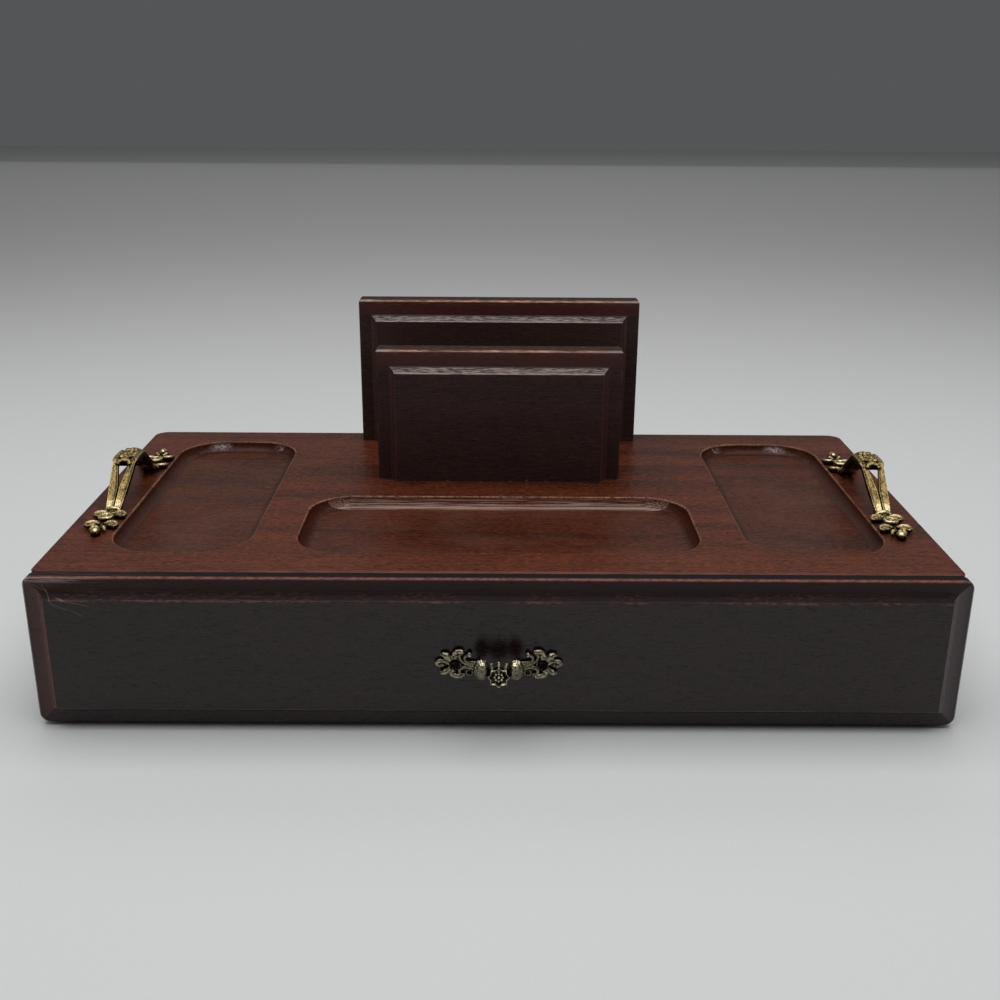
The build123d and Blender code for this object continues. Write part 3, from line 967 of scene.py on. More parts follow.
    def make_feet(self, shop: CastingShop) -> None:
        """Adds the scrolled foot at the end towards +Y, and its twin at the other end.

        Args:
            shop: holds what is made.
        """
        start = len(shop.made)
        eye = self.screw_spacing / 2
        shop.strand([(0, eye - 11.5, 1.6), (0, eye - 6, 1.6), (0, eye, 1.2), (0, eye + 8, 1.5),
                     (0, eye + self.knob_reach, 1.6)], (3.2, 2.5, 1.7), 0.62, 14)
        shop.strand([(-4.2, eye - 10.2, 1.6), (-2.2, eye - 11.2, 3.0), (0, eye - 10.7, 3.3),
                     (2.2, eye - 11.2, 3.0), (4.2, eye - 10.2, 1.6)], (0.8, 1.1, 0.8), 0.9)
        shop.ring((0, eye, 3.3), 2.85, 0.85)
        shop.boss((0, eye, 2.1), (3.0, 3.0, 1.4), 18)
        shop.boss((0, eye, 2.9), (1.3, 1.3, 0.8))
        shop.boss((0, eye + self.knob_reach, 1.8), (2.5, 3.0, 2.4))
        shop.boss((0, eye + self.knob_reach - 1.6, 2.8), (1.5, 1.7, 1.6), 10)
        for side in (-1, 1):
            self.make_lobe(shop, side, eye - 6.2)
            self.make_lobe(shop, side, eye + 7.3)
            shop.strand([(side * 0.8, eye + 10.2, 1.5), (side * 2.6, eye + 12.0, 2.2),
                         (side * 3.7, eye + 14.2, 1.3)], (1.0, 1.25, 0.6), 1.1)
        shop.mirrored(shop.made[start:], (1, -1, 1))

    def build(self) -> Piece:
        """Casts the handle and sets it on the top.

        Returns:
            The finished handle.
        """
        node = f"{self.side.value}_handle"
        low, high = node_box(node)
        shop = CastingShop()
        self.make_bow(shop)
        self.make_feet(shop)
        place = ((low.x + high.x) / 2, (low.y + high.y) / 2, low.z)
        piece = shop.cast(f"{node}_casting", self.skin, 2, Matrix.Translation(place))

        def raised(at: Value) -> Value:
            """High on the bow, and on top of the feet's leaves, with painted shade on the bow's faces that
            look down.

            Args:
                at: the place on the handle.

            Returns:
                How far it stands out, from 0 to 1, less where shade is painted.
            """
            height = at.parts()[2] - low.z
            under = at.tree.geometry("Normal").parts()[2]
            on_bow = height.rise(5.0, 8.0)
            leaf = height.rise(1.2, 4.0)
            crown = height.rise(16.5, 19.0)
            # Painted shade: faces of the bow that look down are kept dark.
            return on_bow * (0.5 + crown * 0.06) * under.rise(-0.2, 0.4) + leaf * (1 - on_bow)

        return seat(piece, node, Body.CASE, BRASS.material(raised))


# The strands of the pull's right foot: places measured from its screw, radii, and how far they stand up.
PULL_LEAVES = (
    (((-9.2, 0.6), (-6.4, 0.9), (-4.6, 1.9), (-4.3, 3.3), (-5.3, 4.3), (-6.6, 4.9)), (0.8, 0.62, 0.8), 0.0),
    (((-9.2, -0.8), (-5.8, 0.0), (-3.1, 1.5), (-2.0, 3.5), (-2.5, 5.2), (-4.0, 5.9)), (0.85, 0.7, 0.75), 0.0),
    (((-3.6, 6.1), (-1.8, 6.4), (0.0, 5.6), (0.9, 4.2)), (0.8, 1.0, 0.6), 0.5),
    (((-0.5, 4.6), (-0.3, 3.6), (0.1, 2.4)), (0.5, 0.5, 0.5), 0.0),
    (((1.3, 4.4), (1.4, 3.4), (1.3, 2.3)), (0.5, 0.5, 0.5), 0.0),
    (((1.9, 1.8), (3.0, 3.5), (4.6, 4.6), (6.3, 4.7)), (0.6, 1.15, 0.35), 0.3),
    (((2.4, 0.3), (4.6, 1.6), (6.8, 1.5), (8.0, 0.5), (6.9, -0.5), (4.6, -0.3)), (0.6, 0.7, 0.5), 0.0),
    (((2.0, -1.6), (3.4, -3.1), (5.2, -3.9), (6.4, -3.5)), (0.6, 0.95, 0.35), 0.2),
    (((-9.0, -2.6), (-6.4, -1.5), (-3.6, -1.5), (-2.0, -3.0), (-2.6, -4.8), (-4.2, -5.2)),
     (0.8, 0.7, 0.75), 0.0),
    (((-3.2, -5.6), (-1.2, -5.6), (0.8, -4.9), (1.5, -3.4), (0.5, -2.4)), (0.6, 0.85, 0.6), 0.3),
)


@dataclass
class DrawerPull:
    """The cast pull: two pierced leaf feet, two knuckles, and a pointed shield with a rosette."""

    screw_spacing: float = 38.1
    screw_bite: float = 2.4
    drop: float = 2.4
    plate_level: float = 1.0
    reach: float = 14.0
    knuckle_x: float = 7.4
    knuckle_rise: float = 2.2
    shield_points: int = 8
    shield_radius: float = 4.75
    shield_notch: float = 3.75
    shield_thickness: float = 2.5
    shield_rim: float = 0.75
    skin: float = 0.17

    def make_halves(self, shop: CastingShop) -> None:
        """Adds the right foot, its arm and its knuckle, and their twins on the left.

        Args:
            shop: holds what is made.
        """
        eye = self.screw_spacing / 2
        level = self.plate_level
        x, rise = self.knuckle_x, self.knuckle_rise
        for points, radii, lift in PULL_LEAVES:
            shop.strand([(eye + across, up, level + lift) for across, up in points], radii, 1.2)
        shop.ring((eye - 6.3, -3.9, level), 1.35, 0.5)
        shop.boss((eye - 6.4, 4.9, level + 0.7), (1.15, 1.25, 1.2), 14)
        shop.ring((eye, 0, level), 2.35, 0.6)
        shop.strand([(eye, 0, 0.0), (eye, 0, self.screw_bite + 0.35)], (2.0, 1.9, 1.75), 1.0, 12, 5, True)
        for across, up in around(1.35, 5, 90):
            shop.boss((eye + across, up, self.screw_bite + 0.3), (0.72, 0.72, 0.6))
        shop.strand([(x + 2.2, -0.6, 0.6), (x + 1.2, 0.4, 4.0), (x + 0.3, 1.6, 8.0), (x, rise, 10.5)],
                    (1.9, 1.6, 2.0), 1.3, 12, 5, True)
        shop.boss((x, rise, 10.3), (3.55, 4.9, 3.3))
        shop.boss((x - 0.4, rise + 2.0, 11.4), (2.3, 2.4, 2.3), 10)
        shop.mirrored(list(shop.made), (-1, 1, 1))

    def make_shield(self, shop: CastingShop) -> None:
        """Adds the pointed shield, its rosette and the three prongs above it.

        Args:
            shop: holds what is made.
        """
        base = self.reach - self.shield_thickness
        dish = self.reach - 1.1
        select_none()
        bpy.ops.mesh.primitive_circle_add(vertices=2 * self.shield_points, radius=self.shield_radius,
                                          fill_type="NGON", location=(0, 0, base - 0.6))
        shield = shop.keep()

        def starred(places: np.ndarray) -> np.ndarray:
            """Draws every second corner in.

            Args:
                places: the corners, in rows.

            Returns:
                Their new places.
            """
            turn = np.degrees(np.arctan2(places[:, 1], places[:, 0]))
            inner = np.round(turn / (180 / self.shield_points)).astype(int) % 2 == 1
            places[inner, :2] *= self.shield_notch / self.shield_radius
            return places

        move_points(shield, starred)
        select_only([shield])
        begin_edit()
        extrude((0, 0, self.shield_thickness + 0.5))
        bpy.ops.mesh.inset(thickness=self.shield_rim)
        bpy.ops.transform.translate(value=(0, 0, -1.0))
        end_edit()
        shop.boss((0, 0, dish + 0.1), (0.75, 0.75, 0.95), 14)
        for x, y in around(1.75, 8):
            shop.boss((x, y, dish), (0.6, 0.6, 0.75))
        for step in (-1, 0, 1):
            shop.strand([(step * 2.5, 2.4, base + 0.8), (step * 2.9, 4.6, base + 0.9),
                         (step * 3.25, 6.3 + (1 - abs(step)) * 0.7, base + 0.8)], (0.75, 0.55, 0.42))

    def build(self) -> Piece:
        """Casts the pull and sets it on the drawer's front.

        Returns:
            The finished pull.
        """
        low, high = node_box("drawer_front")
        middle = (low.z + high.z) / 2 - self.drop
        shop = CastingShop()
        self.make_halves(shop)
        shop.strand([(-8.6, 2.4, 10.0), (-4.5, 1.7, 10.3), (0, 1.1, 10.6), (4.5, 1.7, 10.3),
                     (8.6, 2.4, 10.0)], (1.8, 1.5, 1.8), 1.0, 12)
        self.make_shield(shop)
        placement = Matrix.Translation((0, low.y, middle)) @ Matrix.Rotation(math.pi / 2, 4, "X")
        piece = shop.cast("drawer_pull_casting", self.skin, 1, placement)

        def raised(at: Value) -> Value:
            """On top of the leaves' strands, and on the knuckles and the shield, with a painted highlight on
            the knuckles' upper sides and painted shade on the back.

            Args:
                at: the place on the pull.

            Returns:
                How far it stands out: from 0 to 1, and less on its back, where shade is painted.
            """
            x, y, z = at.parts()
            back = at.tree.geometry("Normal").parts()[1]
            out = low.y - y
            up = z - middle
            on_shield = (x * x + up * up).fall(20.0, 30.0) * out.rise(10.0, 11.0)
            across = abs(x) - self.screw_spacing / 2
            at_screw = (across * across + up * up).fall(3.5, 6.5) * out.fall(5.0, 6.0)
            knuckle = out.rise(4.0, 6.0)
            # Painted highlight: the knuckles are lighter on their upper sides.
            leaf = out.rise(0.9, 2.2) * (1 - knuckle) * 0.75 + knuckle * (up.rise(2.5, 6.0) * 0.4 + 0.5)
            shown = leaf * (1 - at_screw) * (1 - on_shield) + out.rise(12.4, 13.7) * on_shield * 0.9
            # Painted shade: faces that look back towards the drawer are darkened.
            return shown * back.fall(-0.1, 0.4) - back.rise(0.1, 0.5) * 0.5

        return seat(piece, "drawer_pull", Body.DRAWER, PULL_METAL.material(raised))


def rounded_outline(x: Value, y: Value, size: PlanPoint, corner: float) -> Value:
    """How far a place lies outside a rounded rectangle.

    Args:
        x: the place along X, from the rectangle's middle.
        y: the place along Y, from the rectangle's middle.
        size: the rectangle's width and length.
        corner: the radius of its corners.

    Returns:
        The distance, less than 0 inside.
    """
    out_x = abs(x) - (size[0] / 2 - corner)
    out_y = abs(y) - (size[1] / 2 - corner)
    far_x, far_y = out_x.larger(0.0), out_y.larger(0.0)
    away = (far_x * far_x + far_y * far_y).root()
    return away + out_x.larger(out_y).smaller(0.0) - corner


@dataclass
class TopPanel:
    """The solid top with its three routed trays."""

    side_tray: PlanPoint = (64.5, 168.0)
    side_corner: float = 23.0
    centre_tray: PlanPoint = (187.0, 75.5)
    centre_corner: float = 21.0
    tray_depth: float = 5.5
    front_margin: float = 21.2
    side_margin: float = 24.0
    ease: float = 0.16

    def marks(self, at: Value) -> list[SurfaceLayer]:
        """Lips and edges rubbed light, torn grain on the back coves and dust in the trays, with painted shade
        in the trays, a painted pool of light on the centre tray's floor, painted reflections in the side
        trays' back coves and a painted highlight on the centre tray's back cove.

        Args:
            at: the place on the top.

        Returns:
            The layers of wear and of painted light and shade.
        """
        low, high = node_box("top_panel")
        x, y, z = at.parts()
        level = z - high.z
        side_x = high.x - self.side_margin - self.side_tray[0] / 2
        trays_front = low.y + self.front_margin
        side_y = trays_front + self.side_tray[1] / 2
        centre_y = trays_front + self.centre_tray[1] / 2
        side_offset = abs(x) - side_x
        side = rounded_outline(side_offset, y - side_y, self.side_tray, self.side_corner)
        centre = rounded_outline(x, y - centre_y, self.centre_tray, self.centre_corner)
        nearest = side.smaller(centre)
        floor = level.fall(0.2 - self.tray_depth, 0.7 - self.tray_depth)
        cove = (1 - nearest.fall(0.1 - self.tray_depth, 0.9 - self.tray_depth)) * level.fall(-0.9, -0.5)
        upper = level.rise(-1.2, -0.8)
        rub = at.noise(0.05).rise(0.3, 0.65)
        thin = at.noise(0.9, 2.0)
        streaks = at.stretched(0.035, 2.6, 2.6).noise(1.0)
        lip = nearest.band(0.25, 0.55) * upper
        centre_back = (y - (trays_front + self.centre_tray[1] - 5.6)).rise(0.0, 0.6) * cove
        centre_back = centre_back * centre.fall(-0.2, 0.2)
        side_back = (y - (trays_front + self.side_tray[1] - 5.8)).rise(0.0, 0.8) * cove * side.fall(-0.2, 0.2)
        # Painted reflections: pale grey patches in the back coves of the side trays, where the gloss would
        # mirror the light.
        gleam = side_offset.band(13.5, 8.0) + side_offset.band(-22.8, 6.5) * 0.6
        painted_reflections = side_back * gleam * level.band(-2.6, 2.6) * at.noise(0.7, 2.0).rise(0.3, 0.6)
        edge = (y - low.y).fall(0.3, 1.3) * level.rise(-1.2, -0.7)
        ends = (high.x - abs(x)).fall(0.3, 1.2) * level.rise(-1.2, -0.7)
        scratch = at.stretched(0.05, 0.9, 0.9).noise(0.5, 1.0).band(0.5, 0.004)
        from_front = y - trays_front
        # A painted pool of light on the centre tray's floor, a little behind its front wall.
        painted_light_pool = floor * from_front.rise(3.0, 6.0) * from_front.fall(6.0, 17.0) * thin.rise(0.35, 0.65)
        painted_light_pool = painted_light_pool * centre.fall(-4.0, -2.0)
        return [
            # Painted shade: the tray coves, all but the centre tray's back cove that faces the light, and the
            # tray floors are darkened.
            SurfaceLayer(cove * (1 - centre_back) * 0.55, (34, 17, 13), 0.34),
            SurfaceLayer(floor * 0.3, (44, 26, 21), 0.4),
            SurfaceLayer(floor * at.noise(0.03).rise(0.45, 0.7) * 0.2, (96, 70, 58), 0.5),
            SurfaceLayer(painted_light_pool * 0.6, (146, 72, 36), 0.4),
            SurfaceLayer(lip * (rub * 0.5 + 0.28) * thin.rise(0.3, 0.6), WORN_EDGE, 0.5),
            # Raised grain on the centre tray's back cove, which faces the light, paler with a painted
            # highlight, and a painted highlight line low in that cove.
            SurfaceLayer(centre_back * streaks.rise(0.46, 0.58) * 0.6, RAISED_GRAIN_AND_HIGHLIGHT, 0.3, 0.8),
            SurfaceLayer(centre_back * level.band(-5.0, 0.45) * 0.6, RAISED_GRAIN_AND_HIGHLIGHT, 0.3),
            SurfaceLayer(painted_reflections * 0.9, (184, 168, 172), 0.25),
            SurfaceLayer(edge * (rub * 0.45 + 0.3), (136, 84, 72), 0.42),
            SurfaceLayer(ends * rub * 0.45, (132, 84, 70), 0.45),
            SurfaceLayer(scratch * at.noise(0.02, 1.0).rise(0.55, 0.7) * 0.3, (150, 110, 92), 0.5),
        ]

    def build(self) -> Piece:
        """Eases and finishes the top."""
        return finished_copy("top_panel", self.ease, Body.CASE, TOP_WOOD.material(self.marks))


@dataclass
class Case:
    """The sides, the back, the base and the drawer stops."""

    ease: float = 0.35
    foot: float = 1.2

    def marks(self, at: Value) -> list[SurfaceLayer]:
        """Rubbed lower edges, and scuffs low on the sides.

        Args:
            at: the place on the case.

        Returns:
            The layers of wear.
        """
        z = at.parts()[2]
        scuffs = at.stretched(0.2, 0.08, 1.0).noise(0.5).rise(0.62, 0.7)
        low_edge = (z - self.foot).fall(0.2, 1.4) * at.noise(0.06).rise(0.35, 0.6)
        return [SurfaceLayer(low_edge * 0.5, (110, 76, 62), 0.5),
                SurfaceLayer(scuffs * z.fall(8.0, 30.0) * 0.3, (96, 68, 58), 0.55)]

    def build(self) -> list[Piece]:
        """Eases and finishes the pieces.

        Returns:
            The pieces.
        """
        side_wood = SIDE_WOOD.material(self.marks)
        rows = (("left_side", Slot.DARK_WOOD, side_wood), ("right_side", Slot.DARK_WOOD, side_wood),
                ("back_panel", Slot.DARK_WOOD, SHADED_BOARD_WOOD.material(self.marks)),
                ("base_panel", Slot.PLYWOOD, PLYWOOD.material()),
                ("drawer_stops", Slot.BARE_WOOD, DRAWER_WOOD.material()))
        return [finished_copy(node, self.ease, Body.CASE, wood) for node, slot, wood in rows]


@dataclass
class CovedBoard:
    """A board with a raised field and a coved border, which each kind wears in its own way."""

    node: str
    body: Body
    finish: StainedWood
    ease: float
    shoulder: float = 6.4
    top_shoulder: float = 6.4
    cove_width: float = 3.1
    setback: float = 4.7

    def measured(self, at: Value) -> tuple[Value, ...]:
        """Measures a place on the board.

        Args:
            at: the place.

        Returns:
            How far it lies under the top, over the foot, in from the nearer side and behind the
            shoulder of the border, and whether it is on the front, from 0 to 1.
        """
        low, high = node_box(self.node)
        x, y, z = at.parts()
        back = y - low.y - self.setback
        return high.z - z, z - low.z, high.x - abs(x), back, (0.35 - back).rise(-0.2, 0.2)

    def marks(self, at: Value) -> list[SurfaceLayer]:
        """No wear, for a plain board."""
        return []

    def build(self) -> Piece:
        """Eases and finishes the board."""
        return finished_copy(self.node, self.ease, self.body, self.finish.material(self.marks))


@dataclass
class LetterBoard(CovedBoard):
    """One upright board of the letter holder."""

    body: Body = Body.CASE
    finish: StainedWood = SHADED_BOARD_WOOD
    ease: float = 0.22
    top_shoulder: float = 8.4

    def marks(self, at: Value) -> list[SurfaceLayer]:
        """A rubbed top edge, raised grain on the upper cove, chips along the foot, and a painted highlight on
        the upper cove.

        Args:
            at: the place on the board.

        Returns:
            The layers of wear and of painted light.
        """
        down, up, inward, back, front = self.measured(at)
        below = down - (self.top_shoulder + self.cove_width)
        torn = at.stretched(0.2, 2.6, 2.6).noise(1.0, 4.0)
        fine = at.stretched(0.16, 1.6, 1.6).noise(1.4)
        patches = at.stretched(0.5, 1.0, 1.0).noise(0.07)
        top_face = down.fall(0.3, 1.3)
        arris = back.band(0.4, 0.9) * down.fall(1.0, 1.6)
        upper = down.fall(1.6, 4.4) * back.band(0.0, 1.0) * torn.rise(0.5, 0.6)
        mitre = (inward - down + 2.0).rise(-0.2, 0.4)
        ledge = (down - self.top_shoulder).rise(0.5, 1.0) * below.fall(-0.1, 0.3) * mitre * front
        ledge_highlight_line = below.band(0.0, 0.45) * mitre * front
        red = front * down.fall(self.top_shoulder - 1.0, self.top_shoulder)
        cove_in = inward - self.shoulder
        side_line = (cove_in - self.cove_width).band(0.2, 0.5) * front * below.rise(-0.3, 0.3)
        side_cove = cove_in.rise(-0.2, 0.4) * cove_in.fall(self.cove_width, self.cove_width + 0.4)
        side_cove = side_cove * below.rise(-1.0, 1.0) * front
        side_edge = inward.fall(0.3, 1.0) * patches.rise(0.4, 0.65)
        foot = up.fall(0.5, 1.5) * at.noise(0.25).rise(0.6, 0.68)
        return [
            SurfaceLayer(red * (0.35 + patches * 0.4), (88, 42, 33), 0.36),
            SurfaceLayer(top_face * 0.9, (38, 21, 17), 1.0),
            SurfaceLayer(top_face * torn.rise(0.54, 0.62) * 0.45, (120, 84, 66), 1.0, 0.3),
            SurfaceLayer(arris * (fine.rise(0.4, 0.6) * 0.7 + 0.3) * (patches.rise(0.35, 0.6) * 0.7 + 0.3),
                 (206, 158, 130), 0.4, 0.4),
            SurfaceLayer(arris * inward.fall(4.0, 16.0) * 0.6, (168, 160, 156), 0.4),
            SurfaceLayer(upper * 0.35, (132, 96, 82), 0.42, 0.3),
            SurfaceLayer(ledge * torn.fall(0.38, 0.5) * 0.6, (22, 15, 14), 0.5, -0.6),
            # Painted highlight: the upper cove, whose lower part faces up, is lightened pale grey over its
            # raised grain where it would catch the light from above, and a pale line along its lower edge is
            # a painted highlight too.
            SurfaceLayer(ledge * torn.rise(0.44, 0.56) * 0.7, (176, 158, 150), 0.3, 0.9),
            SurfaceLayer(ledge_highlight_line * fine.rise(0.4, 0.55) * 0.7, (196, 178, 168), 0.34, 0.3),
            SurfaceLayer(side_cove * 0.3, (92, 52, 46), 0.4),
            SurfaceLayer(side_line * 0.25, (118, 80, 70), 0.42),
            SurfaceLayer(side_edge * 0.3, (128, 92, 80), 0.45),
            SurfaceLayer(foot * 0.7, (150, 122, 98), 0.6),
        ]


@dataclass
class DrawerFront(CovedBoard):
    """The overlay front with its coved border, and the damage at its upper left corner."""

    node: str = "drawer_front"
    body: Body = Body.DRAWER
    finish: StainedWood = SHADED_FRONT_WOOD
    ease: float = 0.28
    scratches: tuple[tuple[PlanPoint, PlanPoint], ...] = (
        ((7.5, 3.0), (12.2, 9.4)), ((11.0, 8.0), (15.5, 12.6)), ((12.5, 10.6), (27.0, 16.6)),
        ((2.5, 2.6), (11.5, 7.6)), ((14.0, 8.8), (30.0, 12.0)))
    scratch_half: float = 0.22

    def marks(self, at: Value) -> list[SurfaceLayer]:
        """A rubbed upper arris, rough grain low in the upper cove, rubbed lines round the field, a painted
        shadow on the top face, and painted light and painted reflections on the side borders.

        Args:
            at: the place on the front.

        Returns:
            The layers of wear and of painted light and shade.
        """
        down, up, inward, back, front = self.measured(at)
        x = at.parts()[0]
        from_left = x - node_box(self.node)[0].x
        border = self.shoulder + self.cove_width
        below, above, inside = down - border, up - border, inward - border
        speck = at.stretched(0.3, 1.0, 1.0).noise(1.2)
        patches = at.noise(0.045)
        torn = at.stretched(0.06, 1.3, 1.3).noise(1.0)
        fibres = at.stretched(0.1, 2.0, 2.0).noise(1.0)
        mitre = (inward - down).rise(-0.2, 0.4)
        arris = back.band(0.35, 0.75) * down.fall(0.9, 1.4)
        upper = front * down.fall(border - 0.5, border + 0.1) * mitre
        ledge = upper * (down - self.shoulder).rise(-0.6, 0.8)
        rough_line = ledge * speck.rise(0.5, 0.62) * patches.rise(0.35, 0.55)
        ledge_edge = below.band(0.0, 0.5) * speck.rise(0.45, 0.56) * mitre
        bottom_line = above.band(0.15, 0.4) * inside.rise(-0.5, 0.5)
        side_line = inside.band(0.15, 0.45) * above.rise(-0.5, 0.5) * below.rise(-0.5, 0.5)
        painted_border_light = inward.rise(-3.0, border) * inside.fall(-0.1, 0.3)
        painted_border_light = painted_border_light * (1 - mitre) * (up - inward).rise(-1.0, 1.0)
        on_left = x.fall(-10.0, 10.0)
        on_right = 1 - on_left
        scuffed = from_left.fall(12.0, 75.0) * down.fall(4.0, 9.5) * torn.rise(0.48, 0.6)
        corner = from_left.fall(6.0, 42.0) * down.rise(0.4, 0.8) * down.fall(1.4, 3.8)
        layers = [
            SurfaceLayer(upper * 0.85, (42, 20, 18), 0.7),
            SurfaceLayer(ledge * 0.5, (16, 9, 9), 0.85, -0.3),
            SurfaceLayer(rough_line * 0.28, (104, 66, 56), 0.75, 0.9),
            SurfaceLayer(ledge_edge * patches.rise(0.35, 0.6) * 0.35, (120, 92, 84), 0.6, 0.5),
            # Painted shadow: the top face of the front, in the gap under the top's front edge, is painted
            # near black.
            SurfaceLayer(down.fall(0.3, 1.0), (5, 3, 3), 1.0),
            SurfaceLayer(arris * (speck.rise(0.4, 0.6) * 0.35 + 0.4), (176, 112, 100), 0.5),
            SurfaceLayer(bottom_line * (patches.rise(0.3, 0.6) * 0.45 + 0.08), (112, 82, 70), 0.45),
            # Painted light on the side borders' coves: a lighter, redder band on the left, and a pale grey
            # painted reflection on the right.
            SurfaceLayer(painted_border_light * on_left * 0.5, (112, 62, 48), 0.45),
            SurfaceLayer(painted_border_light * on_right * 0.5, (126, 116, 118), 0.34),
            SurfaceLayer(side_line * on_left * 0.5, (168, 108, 90), 0.42),
            # Painted reflection: a pale grey line round the field on the right.
            SurfaceLayer(side_line * on_right * 0.4, (150, 144, 146), 0.42),
            SurfaceLayer(scuffed * 0.35, (96, 72, 66), 0.55, 0.4),
            SurfaceLayer(corner * fibres.rise(0.44, 0.54) * 0.85, (170, 150, 142), 0.5, 0.7),
        ]
        layers += [SurfaceLayer(self.scratch(from_left, down, start, end) * 0.42, (150, 132, 122), 0.5, 0.4)
                   for start, end in self.scratches]
        return layers

    def scratch(self, x: Value, down: Value, start: PlanPoint, end: PlanPoint) -> Value:
        """A hair-thin scratch, a little bowed.

        Args:
            x: the place from the front's left end.
            down: the place from the front's top.
            start: where the scratch starts, measured so.
            end: where it ends.

        Returns:
            The scratch's mask.
        """
        length = math.dist(start, end)
        step_x, step_down = (end[0] - start[0]) / length, (end[1] - start[1]) / length
        off = (x - start[0]) * step_down + (down - start[1]) * -step_x
        way = (x - start[0]) * step_x + (down - start[1]) * step_down
        sag = way * (length - way) * (0.06 / length)
        return (off - sag).band(0.0, self.scratch_half) * way.rise(0.0, 2.0) * way.fall(length - 2.0, length)


@dataclass
class DrawerBox:
    """The walls and the bottom of the drawer."""

    ease: float = 0.3

    def build(self) -> list[Piece]:
        """Eases and finishes the pieces.

        Returns:
            The pieces.
        """
        across, along = DRAWER_WOOD.material(), DRAWER_SIDE_WOOD.material()
        rows = (("drawer_inner_front", Slot.BARE_WOOD, across), ("drawer_back", Slot.BARE_WOOD, across),
                ("drawer_left_side", Slot.BARE_WOOD, along), ("drawer_right_side", Slot.BARE_WOOD, along),
                ("drawer_bottom", Slot.PLYWOOD, PLYWOOD.material()))
        return [finished_copy(node, self.ease, Body.DRAWER, wood) for node, slot, wood in rows]


@dataclass
class FeltSheet:
    """A felt sheet that lies flat, with cut edges that aren't quite straight."""

    node: str
    body: Body
    slot: Slot
    finish: Felt
    rests_on: str
    cells: tuple[int, int] = (90, 44)
    waviness: float = 0.12
    nap_depth: float = 0.06

    def build(self) -> Piece:
        """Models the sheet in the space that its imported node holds.

        Returns:
            The sheet.
        """
        low, high = node_box(self.node)
        size = high - low
        middle = (low + high) / 2
        wide, long = size.x - 2 * self.waviness, size.y - 2 * self.waviness
        piece = slab(f"{self.node}_sheet", (middle.x, middle.y, low.z), (wide, long), self.cells, size.z)

        def nap(places: np.ndarray) -> np.ndarray:
            """Lets the edges wander and the upper face rise and fall a little.

            Args:
                places: the sheet's points, in rows.

            Returns:
                Their new places.
            """
            x, y, z = places.T.copy()
            wander = self.waviness * np.sin(x * 0.21 + np.sin(y * 0.13)) * np.cos(y * 0.17)
            at_side = np.abs(np.abs(x - middle.x) - wide / 2) < EDGE_SEARCH
            at_end = np.abs(np.abs(y - middle.y) - long / 2) < EDGE_SEARCH
            dip = self.nap_depth * (1 + np.sin(x * 0.33 + 1.3 * np.sin(y * 0.21)) * np.sin(y * 0.27))
            places[:, 0] = x + np.where(at_side, wander, 0)
            places[:, 1] = y + np.where(at_end, wander, 0)
            places[:, 2] = np.where(z > high.z - EDGE_SEARCH, z - dip, z)
            return places

        move_points(piece, nap)
        piece.data.transform(Matrix.Scale(MM, 4))
        select_only([piece])
        bpy.ops.object.shade_smooth_by_angle(angle=SMOOTH_ANGLE)
        seat(piece, self.node, self.body, self.finish.material())
        return piece


@dataclass
class Screws:
    """The screws, eased and plated."""

    ease: float = 0.3

    def build(self) -> list[Piece]:
        """Eases and finishes each group of screws.

        Returns:
            The groups.
        """
        steel = STEEL.material()
        rows = (("letter_board_screws", Body.CASE), ("handle_screws", Body.CASE),
                ("pull_screws", Body.DRAWER))
        return [finished_copy(node, self.ease, body, steel) for node, body in rows]


@dataclass(frozen=True)
class Lamp:
    """A soft area light that looks at the box: its place and size in metres, and its radiance."""

    name: str
    place: Point
    size: PlanPoint
    radiance: float
    target: Point = (0.0, 0.0, 0.05)

    def build(self) -> None:
        """Hangs the light, out of the camera's sight."""
        lamp = bpy.data.lights.new(self.name, "AREA")
        lamp.shape = "RECTANGLE"
        lamp.size, lamp.size_y = self.size
        lamp.energy = self.radiance * math.pi * self.size[0] * self.size[1]
        holder = bpy.data.objects.new(self.name, lamp)
        holder.location = self.place
        toward = Vector(self.target) - Vector(self.place)
        holder.rotation_euler = toward.to_track_quat("-Z", "Y").to_euler()
        holder.visible_camera = False
        bpy.context.scene.collection.objects.link(holder)


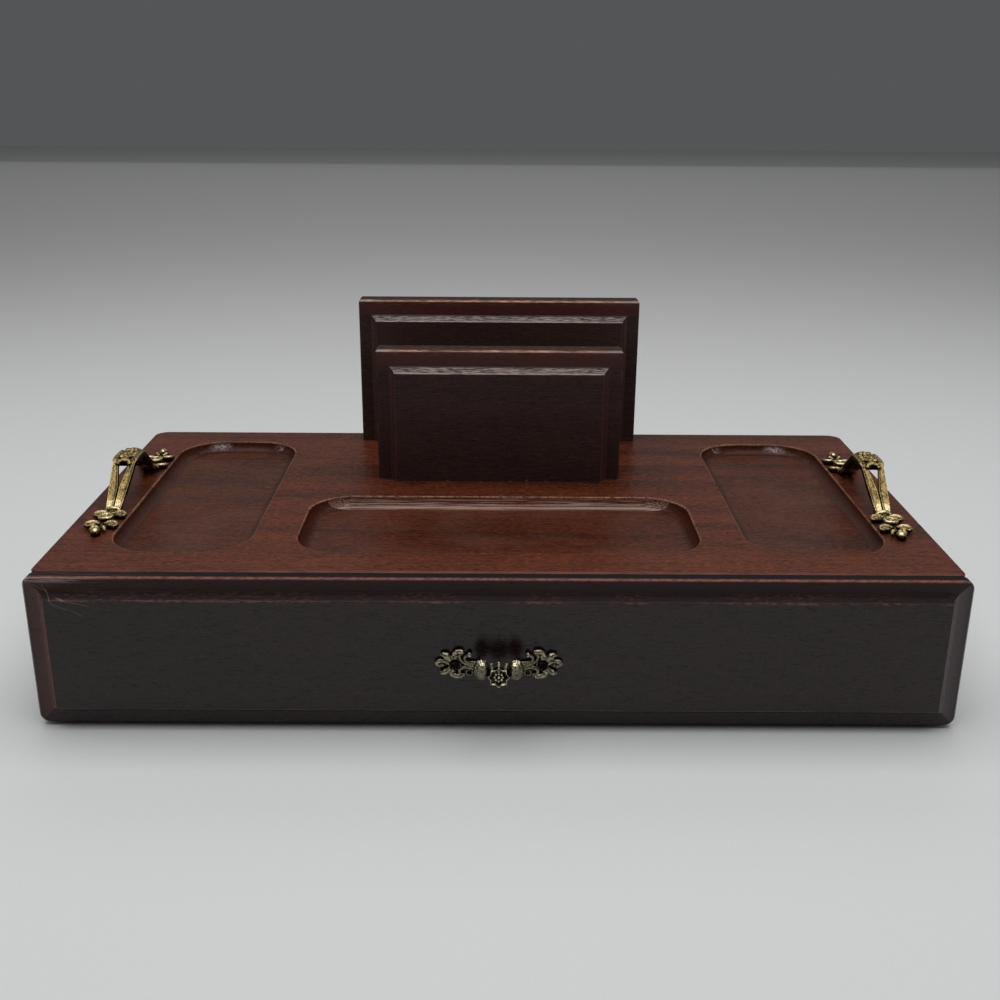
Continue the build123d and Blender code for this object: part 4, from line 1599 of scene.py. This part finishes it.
@dataclass
class Studio:
    """The pale floor, the soft lights and the camera: metres, and degrees for the camera's turns."""

    floor_half: float = 4.0
    floor_colour: Colour = (222, 223, 223)
    far_colour: Colour = (222, 223, 221)
    world_colour: Colour = (200, 202, 204)
    world_strength: float = 0.155
    lamps: tuple[Lamp, ...] = (
        Lamp("soft_box", (0.0, -0.1, 1.15), (1.4, 1.2), 2.35),
        Lamp("far_light", (0.0, 2.6, 2.3), (4.0, 1.2), 0.8),
        Lamp("back_card", (0.0, 3.0, 0.9), (4.0, 1.8), 0.1),
        Lamp("left_card", (-0.85, 0.1, 0.45), (0.8, 0.8), 0.35),
        Lamp("right_card", (0.85, 0.1, 0.45), (0.8, 0.8), 0.35))
    focal: float = 1195.0
    sensor: float = 36.0
    clip: PlanPoint = (0.01, 50.0)
    eye: Point = (-0.0024, -0.5680, 0.2779)
    yaw: float = 0.306
    pitch: float = 19.848
    roll: float = 0.400

    def build_floor(self) -> None:
        """Lays the floor, which changes a little in tone far behind the box."""
        select_none()
        bpy.ops.mesh.primitive_plane_add(size=2 * self.floor_half, location=(0, 0, 0))
        floor = bpy.context.object
        floor.name = "studio_floor"
        at = Tree("studio_floor_paper").place()
        fibre = at.noise(0.7)
        colour = at.parts()[1].rise(-150.0, 1500.0).mix(self.floor_colour, self.far_colour)
        dress(floor, at.tree.finish((fibre * 0.04).mix(colour, BLACK), fibre * 0.1 + 0.6))

    def build_lights(self) -> None:
        """Hangs the lamps, and sets the even light of the room."""
        for lamp in self.lamps:
            lamp.build()
        world = bpy.data.worlds.new("room")
        world.use_nodes = True
        background = world.node_tree.nodes["Background"]
        background.inputs[0].default_value = (*linear(self.world_colour), 1.0)
        background.inputs[1].default_value = self.world_strength
        bpy.context.scene.world = world

    def build_camera(self) -> None:
        """Sets the camera at the place that the photograph was taken from."""
        place = Matrix.Translation(self.eye)
        for angle, axis in ((-self.yaw, "Z"), (90 - self.pitch, "X"), (self.roll, "Z")):
            place @= Matrix.Rotation(math.radians(angle), 4, axis)
        data = bpy.data.cameras.new("camera")
        data.sensor_fit = "HORIZONTAL"
        data.sensor_width = self.sensor
        data.lens = self.focal * self.sensor / IMAGE_SIDE
        data.clip_start, data.clip_end = self.clip
        camera = bpy.data.objects.new("camera", data)
        camera.matrix_world = place
        bpy.context.scene.collection.objects.link(camera)
        bpy.context.scene.camera = camera

    def build(self) -> None:
        """Sets up the studio."""
        self.build_camera()
        self.build_floor()
        self.build_lights()
        bpy.context.scene.view_settings.view_transform = "Standard"


def main() -> None:
    """Builds the studio and every piece of the box."""
    logging.basicConfig(level=logging.INFO, format="%(message)s")
    Studio().build()
    pieces = [TopPanel().build(), *Case().build()]
    pieces += [LetterBoard(f"letter_{place}_board").build() for place in ("back", "front")]
    pieces += [DrawerFront().build(), *DrawerBox().build(), *Screws().build()]
    pieces += [FeltSheet("base_felt", Body.CASE, Slot.BASE_FELT, BASE_FELT, "base_panel").build(),
               FeltSheet("drawer_liner", Body.DRAWER, Slot.LINER_FELT, LINER_FELT, "drawer_bottom").build()]
    pieces += [Handle(side).build() for side in Side]
    pieces.append(DrawerPull().build())
    for piece in pieces:
        log.info("%s: %d faces", piece.name, len(piece.data.polygons))


if __name__ == "__main__":
    main()
